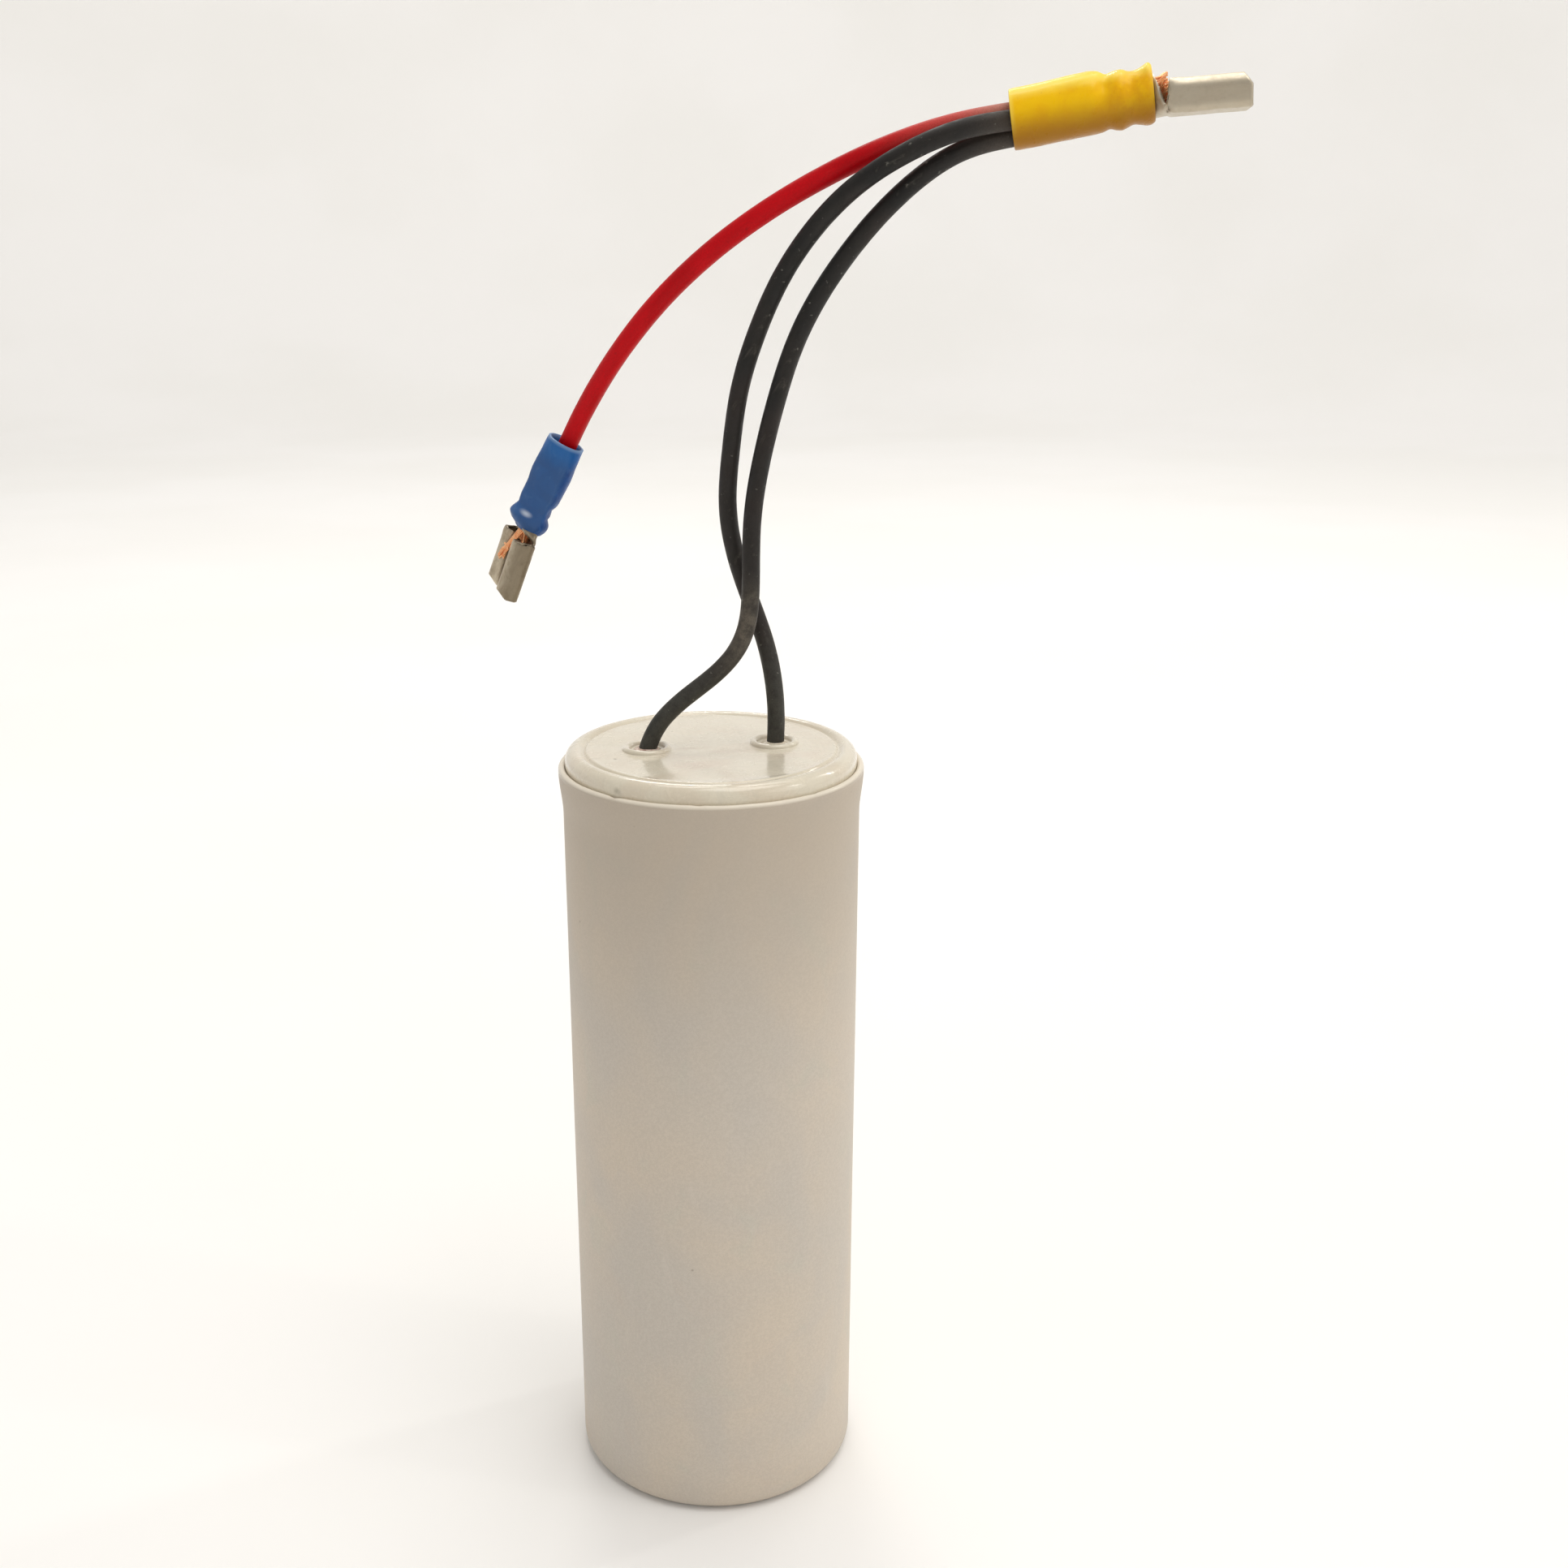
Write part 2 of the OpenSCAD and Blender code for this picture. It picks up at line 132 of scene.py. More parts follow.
def spline_points(ctrl, per_span=24):
    c = np.array(ctrl, float)
    q = np.vstack([2 * c[0] - c[1], c, 2 * c[-1] - c[-2]])
    out = []
    for i in range(len(q) - 3):
        for k in range(per_span):
            t = k / per_span
            out.append(((1 - t) ** 3 * q[i] + (3 * t ** 3 - 6 * t * t + 4) * q[i + 1]
                        + (-3 * t ** 3 + 3 * t * t + 3 * t + 1) * q[i + 2] + t ** 3 * q[i + 3]) / 6)
    out.append(c[-1])
    return np.array(out)


def even(points, step):
    d = np.r_[0, np.cumsum(np.linalg.norm(np.diff(points, axis=0), axis=1))]
    n = max(2, int(round(d[-1] / step)) + 1)
    s = np.linspace(0, d[-1], n)
    return np.stack([np.interp(s, d, points[:, k]) for k in range(3)], 1), s


def carried_frames(points, first_side=(0, 1, 0), d0=None):
    d = np.gradient(points, axis=0)
    d /= np.linalg.norm(d, axis=1)[:, None]
    if d0 is not None:
        d[0] = d0
    side, sides = np.array(first_side, float), []
    for i in range(len(points)):
        side = side - (side @ d[i]) * d[i]
        side /= np.linalg.norm(side)
        sides.append(side.copy())
    return d, np.array(sides)


# ------------------------------------------------------------------ meshes
ROOT = "root"
if ROOT not in frame["bodies"]:
    ROOT = sorted(frame["bodies"])[0]


def piece(name, verts, faces, material, loc=None, sharp=40.0, replaces=()):
    me = bpy.data.meshes.new(name)
    me.from_pydata([tuple(float(a) * MM for a in v) for v in verts], [], [tuple(f) for f in faces])
    me.validate()
    me.polygons.foreach_set("use_smooth", [True] * len(me.polygons))
    if loc is not None:
        a = me.attributes.new("loc", "FLOAT_VECTOR", "POINT")
        a.data.foreach_set("vector", np.asarray(loc, np.float32).ravel())
    me.materials.append(material)
    me.update()
    if sharp:
        me.set_sharp_from_angle(angle=math.radians(sharp))
    ob = bpy.data.objects.new(name, me)
    scene.collection.objects.link(ob)
    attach(ob, ROOT)
    if replaces:
        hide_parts(*replaces)
    return ob


class Build:
    """Vertices and faces gathered for one mesh, with the local position that its material reads."""

    def __init__(self):
        self.v, self.f, self.loc = [], [], []

    def add(self, p, loc=None):
        self.v.append(tuple(float(x) for x in p))
        self.loc.append(tuple(float(x) for x in (loc if loc is not None else p)))
        return len(self.v) - 1

    def strip(self, a, b, closed=True):
        n = len(a)
        for j in range(n if closed else n - 1):
            k = (j + 1) % n
            self.f.append((a[j], a[k], b[k], b[j]))


def tube(b, points, radius, sides, s=None, first_side=(0, 1, 0), d0=None, wobble=None, round_end=0.0, phase=0.0):
    """A closed tube along points; radius is a number or a function of the distance along it."""
    d, side = carried_frames(points, first_side, d0)
    if s is None:
        s = np.r_[0, np.cumsum(np.linalg.norm(np.diff(points, axis=0), axis=1))]
    rings = []
    for i, p in enumerate(points):
        up_ = np.cross(d[i], side[i])
        r0 = radius(s[i]) if callable(radius) else radius
        ring = []
        for j in range(sides):
            a = 2 * math.pi * j / sides + phase
            r = r0 + (wobble(s[i], a) if wobble else 0.0)
            ring.append(b.add(p + r * (math.cos(a) * side[i] + math.sin(a) * up_),
                              (s[i], r * math.cos(a), r * math.sin(a))))
        rings.append(ring)
    for r0, r1 in zip(rings[:-1], rings[1:]):
        b.strip(r0, r1)
    b.f.append(tuple(reversed(rings[0])))
    b.f.append(tuple(rings[-1]))
    return rings


# ------------------------------------------------------------------ materials
def rgb(r, g, b, a=1.0):
    def lin(c):
        c = c / 255.0
        return c / 12.92 if c <= 0.04045 else ((c + 0.055) / 1.055) ** 2.4
    return (lin(r), lin(g), lin(b), a)


class Mat:
    def __init__(self, name):
        self.m = bpy.data.materials.new(name)
        self.m.use_nodes = True
        self.t = self.m.node_tree
        self.t.nodes.clear()
        self.out = self.t.nodes.new("ShaderNodeOutputMaterial")
        self.b = self.t.nodes.new("ShaderNodeBsdfPrincipled")
        self.t.links.new(self.b.outputs[0], self.out.inputs[0])
        self._mm = None

    def node(self, kind, **props):
        n = self.t.nodes.new(kind)
        for k, v in props.items():
            setattr(n, k, v)
        return n

    def put(self, socket, value):
        if hasattr(value, "is_output"):
            self.t.links.new(value, socket)
        else:
            socket.default_value = value

    def mm(self):
        """Position on the part, in millimetres."""
        if self._mm is None:
            tc = self.node("ShaderNodeTexCoord")
            sc = self.node("ShaderNodeVectorMath", operation="SCALE")
            self.t.links.new(tc.outputs["Object"], sc.inputs[0])
            sc.inputs["Scale"].default_value = 1000.0
            self._mm = sc.outputs[0]
        return self._mm

    def loc(self):
        return self.node("ShaderNodeAttribute", attribute_name="loc").outputs["Vector"]

    def stretch(self, vec, x, y, z):
        n = self.node("ShaderNodeVectorMath", operation="MULTIPLY")
        self.t.links.new(vec, n.inputs[0])
        n.inputs[1].default_value = (x, y, z)
        return n.outputs[0]

    def split(self, vec):
        n = self.node("ShaderNodeSeparateXYZ")
        self.t.links.new(vec, n.inputs[0])
        return n.outputs

    def noise(self, vec, scale, detail=4.0, rough=0.55, distort=0.0):
        n = self.node("ShaderNodeTexNoise")
        self.t.links.new(vec, n.inputs["Vector"])
        n.inputs["Scale"].default_value = scale
        n.inputs["Detail"].default_value = detail
        n.inputs["Roughness"].default_value = rough
        n.inputs["Distortion"].default_value = distort
        return n.outputs[0]

    def voronoi(self, vec, scale, feature="F1"):
        n = self.node("ShaderNodeTexVoronoi", feature=feature)
        self.t.links.new(vec, n.inputs["Vector"])
        n.inputs["Scale"].default_value = scale
        return n.outputs["Distance"]

    def wave(self, vec, scale, distort=0.0, detail=2.0, axis="X"):
        n = self.node("ShaderNodeTexWave", bands_direction=axis)
        self.t.links.new(vec, n.inputs["Vector"])
        n.inputs["Scale"].default_value = scale
        n.inputs["Distortion"].default_value = distort
        n.inputs["Detail"].default_value = detail
        return n.outputs["Fac"]

    def span(self, fac, lo, hi, a=0.0, b=1.0, smooth=True):
        n = self.node("ShaderNodeMapRange", interpolation_type="SMOOTHSTEP" if smooth else "LINEAR")
        self.put(n.inputs["Value"], fac)
        n.inputs["From Min"].default_value = lo
        n.inputs["From Max"].default_value = hi
        n.inputs["To Min"].default_value = a
        n.inputs["To Max"].default_value = b
        return n.outputs[0]

    def math(self, op, a, b=0.0, clamp=False):
        n = self.node("ShaderNodeMath", operation=op, use_clamp=clamp)
        self.put(n.inputs[0], a)
        self.put(n.inputs[1], b)
        return n.outputs[0]

    def mix(self, fac, a, b, mode="MIX"):
        n = self.node("ShaderNodeMix", data_type="RGBA", blend_type=mode)
        self.put(n.inputs[0], fac)
        self.put(n.inputs[6], a)
        self.put(n.inputs[7], b)
        return n.outputs[2]

    def spot(self, vec, centre, radius, power=1.0):
        """1 at a point, falling smoothly to 0 at radius (a number, or one per axis)."""
        sub = self.node("ShaderNodeVectorMath", operation="SUBTRACT")
        self.t.links.new(vec, sub.inputs[0])
        sub.inputs[1].default_value = centre
        r = (radius,) * 3 if isinstance(radius, (int, float)) else radius
        v = self.stretch(sub.outputs[0], 1 / r[0], 1 / r[1], 1 / r[2])
        ln = self.node("ShaderNodeVectorMath", operation="LENGTH")
        self.t.links.new(v, ln.inputs[0])
        return self.span(ln.outputs["Value"], 1.0, 0.0, 0.0, power)

    def bump(self, height, strength, distance_mm, before=None):
        n = self.node("ShaderNodeBump")
        n.inputs["Strength"].default_value = strength
        n.inputs["Distance"].default_value = distance_mm * MM
        self.put(n.inputs["Height"], height)
        if before is not None:
            self.t.links.new(before, n.inputs["Normal"])
        return n.outputs[0]

    def set(self, **kw):
        names = {"color": "Base Color", "rough": "Roughness", "metal": "Metallic", "normal": "Normal",
                 "coat": "Coat Weight", "coat_rough": "Coat Roughness", "sss": "Subsurface Weight",
                 "sss_scale": "Subsurface Scale", "sss_radius": "Subsurface Radius", "ior": "IOR",
                 "spec": "Specular IOR Level", "sheen": "Sheen Weight", "sheen_rough": "Sheen Roughness",
                 "aniso": "Anisotropic", "transmission": "Transmission Weight"}
        for k, v in kw.items():
            self.put(self.b.inputs[names[k]], v)
        return self.m


def make_can_plastic():
    m = Mat("can_plastic")
    p = m.mm()
    big = m.noise(m.stretch(p, 1, 1, 0.7), 0.055, 2.0, 0.5, 0.6)
    mid = m.noise(m.stretch(p, 1, 1, 0.8), 0.16, 3.0, 0.5, 0.8)
    patch = m.span(m.noise(p, 0.09, 1.0, 0.4, 1.2), 0.50, 0.56)
    fine = m.noise(p, 2.6, 2.0, 0.7)
    grain = m.noise(p, 7.0, 1.0, 0.5)
    col = m.mix(m.span(big, 0.36, 0.64), rgb(201, 193, 182), rgb(209, 197, 181))
    col = m.mix(m.math("MULTIPLY", patch, 0.16), col, rgb(198, 191, 183))
    col = m.mix(m.span(mid, 0.58, 0.74, 0, 0.18), col, rgb(206, 189, 173))
    col = m.mix(m.span(mid, 0.42, 0.28, 0, 0.30), col, rgb(196, 195, 181))
    col = m.mix(m.span(fine, 0.40, 0.62, 0.10, 0.0), col, rgb(150, 140, 128))
    col = m.mix(m.span(grain, 0.35, 0.65, 0.07, 0.0), col, rgb(120, 112, 102))
    # a few darker specks in the moulding, and faint handling marks
    speck = m.span(m.voronoi(p, 0.16), 0.035, 0.018)
    col = m.mix(m.math("MULTIPLY", speck, 0.45), col, rgb(130, 116, 100))
    rub = m.span(m.noise(m.stretch(p, 1, 1, 0.22), 0.35, 5.0, 0.65, 0.4), 0.60, 0.78, 0, 0.25)
    col = m.mix(rub, col, rgb(214, 206, 195))
    z = m.split(p)[2]
    foot = m.span(z, 7.0, 0.0, 0.0, 0.16)
    col = m.mix(foot, col, rgb(170, 160, 147))
    # painted shade: greyer towards the lid, and a painted highlight makes the lip a lighter band
    col = m.mix(m.span(z, 55.0, 93.5, 0.0, 0.62), col, rgb(176, 164, 148))
    # painted highlight: a lighter band along the lip
    col = m.mix(m.span(z, 94.55, 94.95, 0.0, 0.75), col, rgb(236, 228, 212))
    rough = m.span(z, 94.2, 94.7, 0.50, 0.22)
    n = m.bump(m.noise(p, 1.3, 3.0, 0.5), 0.10, 0.04)
    n = m.bump(grain, 0.22, 0.012, n)
    return m.set(color=col, rough=rough, normal=n, ior=1.49, spec=0.32)


def make_lid_plastic():
    m = Mat("lid_plastic")
    p = m.mm()
    big = m.noise(p, 0.11, 3.0, 0.5, 1.0)
    mid = m.noise(p, 0.35, 4.0, 0.6, 1.4)
    fine = m.noise(p, 3.2, 2.0, 0.6)
    col = m.mix(m.span(big, 0.38, 0.62), rgb(219, 211, 192), rgb(216, 205, 185))
    col = m.mix(m.span(mid, 0.55, 0.75, 0, 0.25), col, rgb(208, 202, 187))
    col = m.mix(m.span(mid, 0.44, 0.28, 0, 0.25), col, rgb(230, 221, 199))
    # brown smear between the collars and a pink-brown tint in front of it
    warp = m.node("ShaderNodeVectorMath", operation="ADD")
    m.t.links.new(p, warp.inputs[0])
    off = m.node("ShaderNodeTexNoise")
    m.t.links.new(p, off.inputs["Vector"])
    off.inputs["Scale"].default_value = 0.45
    off.inputs["Detail"].default_value = 4.0
    sh = m.node("ShaderNodeVectorMath", operation="SUBTRACT")
    m.t.links.new(off.outputs["Color"], sh.inputs[0])
    sh.inputs[1].default_value = (0.5, 0.5, 0.5)
    sc = m.node("ShaderNodeVectorMath", operation="SCALE")
    m.t.links.new(sh.outputs[0], sc.inputs[0])
    sc.inputs["Scale"].default_value = 3.2
    m.t.links.new(sc.outputs[0], warp.inputs[1])
    w = warp.outputs[0]
    col = m.mix(m.spot(w, (-2.6, -0.2, 96.8), (4.4, 1.0, 3.0), 0.55), col, rgb(196, 178, 158))
    col = m.mix(m.spot(w, (2.6, -2.0, 96.8), (5.2, 1.3, 3.0), 0.50), col, rgb(198, 181, 162))
    col = m.mix(m.spot(w, (-2.7, -7.3, 96.8), (5.6, 3.0, 3.0), 0.30), col, rgb(212, 186, 168))
    col = m.mix(m.spot(w, (8.3, -5.2, 96.8), (5.0, 2.2, 3.0), 0.26), col, rgb(214, 190, 172))
    col = m.mix(m.spot(w, (-11.5, 5.0, 96.8), (4.0, 5.0, 3.0), 0.26), col, rgb(216, 206, 178))
    # dark specks
    col = m.mix(m.spot(p, (-11.92, -3.1, 96.8), (0.34, 0.45, 0.6), 0.75), col, rgb(120, 112, 92))
    col = m.mix(m.spot(p, (-14.2, -2.6, 96.8), (0.7, 0.35, 0.6), 0.30), col, rgb(150, 142, 120))
    col = m.mix(m.spot(p, (-12.7, -12.1, 95.6), (0.8, 0.8, 0.6), 0.55), col, rgb(140, 134, 112))
    speck = m.span(m.voronoi(p, 0.55), 0.05, 0.02)
    col = m.mix(m.math("MULTIPLY", speck, 0.22), col, rgb(160, 150, 128))
    # worn swirls that the light catches
    swirl = m.wave(m.stretch(p, 1, 1, 1), 0.42, 9.0, 4.0)
    area = m.math("ADD", m.spot(p, (12.6, -1.6, 96.8), (3.4, 5.0, 4.0), 1.0),
                  m.spot(p, (-3.6, 6.2, 96.8), (6.0, 4.0, 4.0), 0.9), clamp=True)
    worn = m.math("MULTIPLY", m.span(swirl, 0.55, 0.8), area)
    col = m.mix(m.math("MULTIPLY", worn, 0.22), col, rgb(196, 188, 170))
    col = m.mix(m.span(fine, 0.42, 0.60, 0.07, 0.0), col, rgb(170, 160, 140))
    scuff = m.noise(m.stretch(p, 1.0, 0.35, 1), 1.6, 5.0, 0.7, 0.8)
    rough = m.math("ADD", m.span(m.noise(p, 0.5, 3.0, 0.5), 0.3, 0.7, 0.20, 0.30),
                   m.math("MULTIPLY", area, 0.12))
    n = m.bump(m.noise(p, 0.5, 2.0, 0.4), 0.05, 0.10)
    n = m.bump(scuff, 0.05, 0.02, n)
    n = m.bump(worn, 0.35, 0.02, n)
    return m.set(color=col, rough=rough, normal=n, ior=1.50, coat=0.65, coat_rough=0.12)


def make_resin(name, a, b, dark):
    m = Mat(name)
    p = m.mm()
    col = m.mix(m.span(m.noise(p, 0.8, 4.0, 0.6, 1.0), 0.35, 0.65), rgb(*a), rgb(*b))
    col = m.mix(m.span(m.noise(p, 2.2, 3.0, 0.6), 0.56, 0.70, 0, 0.6), col, rgb(*dark))
    rough = m.span(m.noise(p, 1.7, 3.0, 0.5), 0.3, 0.7, 0.12, 0.34)
    n = m.bump(m.noise(p, 1.6, 4.0, 0.6, 0.5), 0.6, 0.14)
    return m.set(color=col, rough=rough, normal=n, ior=1.52, coat=0.6, coat_rough=0.08)


def make_black():
    m = Mat("black_insulation")
    q, p = m.loc(), m.mm()
    tone = m.noise(m.stretch(q, 0.35, 1, 1), 0.30, 3.0, 0.5, 0.3)
    col = m.mix(m.span(tone, 0.35, 0.65), rgb(24, 23, 22), rgb(38, 34, 31))
    warm = m.span(m.noise(m.stretch(q, 0.5, 1, 1), 0.16, 1.0, 0.4), 0.52, 0.66, 0, 0.5)
    col = m.mix(warm, col, rgb(46, 36, 32))
    dust = m.noise(m.stretch(q, 0.55, 1, 1), 0.75, 5.0, 0.68, 0.6)
    col = m.mix(m.span(dust, 0.56, 0.80, 0, 0.50), col, rgb(96, 92, 84))
    # dust near the lid and towards the yellow terminal, and a lighter grey patch round the crossing
    z = m.split(p)[2]
    lid_end = m.span(z, 116.0, 100.0, 0.0, 0.38)
    col = m.mix(m.math("MULTIPLY", lid_end, m.span(m.noise(q, 0.9, 4.0, 0.6), 0.3, 0.6, 0.55, 1.0)),
                col, rgb(92, 92, 84))
    cross = m.math("MULTIPLY", m.spot(p, (3.2, -3.0, 111.5), (7.0, 2.4, 8.0), 1.0),
                   m.span(m.noise(q, 0.8, 4.0, 0.6), 0.35, 0.62, 0.25, 0.75))
    col = m.mix(cross, col, rgb(112, 104, 92))
    spots = m.span(m.noise(q, 1.7, 2.0, 0.5), 0.68, 0.78, 0, 0.5)
    col = m.mix(spots, col, rgb(128, 126, 118))
    # brown cast where the lead nears the yellow terminal
    x = m.split(p)[0]
    fade = m.span(x, 24.0, 30.5, 0.0, 0.35)
    col = m.mix(fade, col, rgb(104, 92, 82))
    grain = m.noise(q, 6.5, 2.0, 0.6)
    col = m.mix(m.span(grain, 0.36, 0.6, 0.22, 0.0), col, rgb(18, 18, 18))
    rough = m.span(dust, 0.35, 0.7, 0.42, 0.68)
    n = m.bump(m.noise(m.stretch(q, 0.25, 1, 1), 1.6, 3.0, 0.6), 0.35, 0.07)
    n = m.bump(grain, 0.35, 0.025, n)
    return m.set(color=col, rough=rough, normal=n, ior=1.5, spec=0.28)


def make_red():
    m = Mat("red_insulation")
    q, p = m.loc(), m.mm()
    tone = m.noise(m.stretch(q, 0.3, 1, 1), 0.35, 3.0, 0.5, 0.3)
    col = m.mix(m.span(tone, 0.35, 0.65), rgb(184, 2, 14), rgb(200, 6, 20))
    col = m.mix(m.span(m.noise(m.stretch(q, 0.4, 1, 1), 0.9, 5.0, 0.65), 0.58, 0.78, 0, 0.18), col, rgb(206, 70, 66))
    grime = m.span(m.noise(m.stretch(q, 0.6, 1, 1), 1.3, 4.0, 0.6), 0.62, 0.76, 0, 0.30)
    col = m.mix(grime, col, rgb(112, 20, 22))
    x = m.split(p)[0]
    pink = m.span(x, 15.0, 27.0, 0.0, 0.55)
    col = m.mix(pink, col, rgb(205, 108, 98))
    # painted highlight: pale pink-brown where the lead nears the yellow terminal
    painted_highlight_near_yellow = m.span(x, 24.5, 31.0, 0.0, 0.80)
    col = m.mix(painted_highlight_near_yellow, col, rgb(190, 140, 122))
    grain = m.noise(q, 6.0, 2.0, 0.6)
    col = m.mix(m.span(grain, 0.36, 0.6, 0.16, 0.0), col, rgb(96, 10, 14))
    rough = m.span(tone, 0.3, 0.7, 0.36, 0.50)
    n = m.bump(m.noise(m.stretch(q, 0.25, 1, 1), 1.6, 3.0, 0.6), 0.30, 0.06)
    n = m.bump(grain, 0.3, 0.02, n)
    return m.set(color=col, rough=rough, normal=n, ior=1.5, spec=0.12)


def make_yellow():
    m = Mat("yellow_vinyl")
    q = m.loc()
    x = m.split(q)[0]
    tone = m.noise(q, 0.35, 3.0, 0.5, 0.5)
    col = m.mix(m.span(tone, 0.35, 0.65), rgb(244, 184, 0), rgb(250, 198, 0))
    col = m.mix(m.span(m.noise(q, 1.0, 4.0, 0.6), 0.58, 0.75, 0, 0.35), col, rgb(232, 166, 4))
    crimp = m.math("MULTIPLY", m.span(x, 9.0, 11.0), m.span(m.noise(q, 0.7, 3.0, 0.6), 0.40, 0.62, 0, 0.45))
    col = m.mix(crimp, col, rgb(222, 152, 6))
    # cut ends are paler
    rim = m.math("ADD", m.span(x, 0.55, 0.0, 0.0, 0.55), m.span(x, 13.9, 14.5, 0.0, 0.22), clamp=True)
    col = m.mix(rim, col, rgb(255, 226, 96))
    grime = m.span(m.noise(q, 2.3, 4.0, 0.65), 0.62, 0.76, 0, 0.30)
    col = m.mix(grime, col, rgb(196, 138, 20))
    # painted shade: darker towards the underside
    painted_shade_under = m.span(m.split(q)[2], 1.2, -2.4, 0.0, 0.92)
    col = m.mix(painted_shade_under, col, rgb(146, 94, 0))
    # painted highlight: a pale band along the top
    col = m.mix(m.span(m.split(q)[2], 1.5, 2.9, 0.0, 0.75), col, rgb(255, 236, 96))
    peel = m.noise(q, 3.4, 2.0, 0.5)
    rough = m.span(m.noise(q, 1.2, 3.0, 0.5), 0.3, 0.7, 0.26, 0.42)
    n = m.bump(m.noise(q, 0.8, 2.0, 0.5), 0.22, 0.10)
    n = m.bump(peel, 0.22, 0.03, n)
    return m.set(color=col, rough=rough, normal=n, ior=1.5, spec=0.14, coat=0.14, coat_rough=0.16)


def make_blue():
    m = Mat("blue_vinyl")
    q = m.loc()
    x = m.split(q)[0]
    tone = m.noise(q, 0.45, 3.0, 0.5, 0.6)
    col = m.mix(m.span(tone, 0.35, 0.65), rgb(2, 58, 122), rgb(4, 70, 138))
    haze = m.span(m.noise(m.stretch(q, 0.6, 1, 1), 0.8, 4.0, 0.6, 0.6), 0.50, 0.74, 0, 0.30)
    col = m.mix(haze, col, rgb(96, 128, 168))
    col = m.mix(m.span(m.noise(q, 1.1, 3.0, 0.5, 0.5), 0.56, 0.70, 0, 0.35), col, rgb(18, 62, 118))
    # painted light: the rolled face, left of the crease, lighter than the right face
    left = m.span(m.split(q)[2], -0.75, 0.15, 0.0, 0.52)
    col = m.mix(left, col, rgb(74, 106, 150))
    near = m.span(x, 3.4, 0.8, 0.0, 0.45)
    col = m.mix(near, col, rgb(28, 108, 182))
    rim = m.span(x, 0.45, 0.0, 0.0, 0.55)
    col = m.mix(rim, col, rgb(136, 164, 196))
    # painted highlight: a pale glint spot on the sleeve by the crimp
    col = m.mix(m.spot(q, (9.47, 2.2, 1.85), (0.50, 1.6, 1.0), 0.85), col, rgb(196, 206, 218))
    rough = m.span(m.noise(q, 1.2, 3.0, 0.5), 0.3, 0.7, 0.30, 0.46)
    n = m.bump(m.noise(q, 1.0, 3.0, 0.5), 0.35, 0.10)
    n = m.bump(m.noise(q, 3.6, 2.0, 0.5), 0.35, 0.03, n)
    return m.set(color=col, rough=rough, normal=n, ior=1.5, spec=0.12, coat=0.10, coat_rough=0.16)


def make_tinned(name, base, dark, light):
    m = Mat(name)
    q = m.loc()
    tone = m.noise(m.stretch(q, 0.5, 1, 1), 0.6, 4.0, 0.6, 0.6)
    col = m.mix(m.span(tone, 0.35, 0.65), rgb(*base), rgb(*light))
    col = m.mix(m.span(m.noise(q, 1.5, 4.0, 0.65), 0.52, 0.72, 0, 0.35), col, rgb(*dark))
    # painted shade: darker where the sheet curls in towards the rolls' tips
    ay = m.math("ABSOLUTE", m.split(q)[1])
    col = m.mix(m.span(ay, 7.8, 6.0, 0.0, 0.75), col, rgb(*(int(c * 0.80) for c in dark)))
    grain = m.noise(m.stretch(q, 0.25, 2.0, 2.0), 5.0, 3.0, 0.6)
    col = m.mix(m.span(grain, 0.4, 0.6, 0.18, 0.0), col, rgb(*dark))
    rough = m.span(m.noise(q, 1.8, 4.0, 0.6), 0.3, 0.7, 0.34, 0.54)
    n = m.bump(grain, 0.15, 0.015)
    n = m.bump(m.noise(q, 1.0, 2.0, 0.5), 0.12, 0.06, n)
    return m.set(color=col, rough=rough, metal=0.85, normal=n)


def make_copper(name="copper"):
    m = Mat(name)
    p = m.mm()
    tone = m.noise(p, 1.1, 3.0, 0.6)
    col = m.mix(m.span(tone, 0.35, 0.65), rgb(252, 168, 112), rgb(255, 198, 146))
    col = m.mix(m.span(m.noise(p, 2.6, 3.0, 0.6), 0.60, 0.74, 0, 0.5), col, rgb(180, 98, 62))
    rough = m.span(m.noise(p, 3.0, 2.0, 0.5), 0.3, 0.7, 0.26, 0.42)
    n = m.bump(m.noise(p, 7.0, 2.0, 0.5), 0.3, 0.02)
    return m.set(color=col, rough=rough, metal=0.6, normal=n)


def make_plain(name, a, b, scale, rough, metal=0.0, stretch=(1, 1, 1), bump=0.05):
    m = Mat(name)
    p = m.stretch(m.mm(), *stretch)
    col = m.mix(m.span(m.noise(p, scale, 4.0, 0.6), 0.35, 0.65), rgb(*a), rgb(*b))
    r = m.span(m.noise(p, scale * 2, 3.0, 0.5), 0.3, 0.7, rough - 0.08, rough + 0.08)
    n = m.bump(m.noise(p, scale * 4, 3.0, 0.6), 0.4, bump)
    return m.set(color=col, rough=r, metal=metal, normal=n)


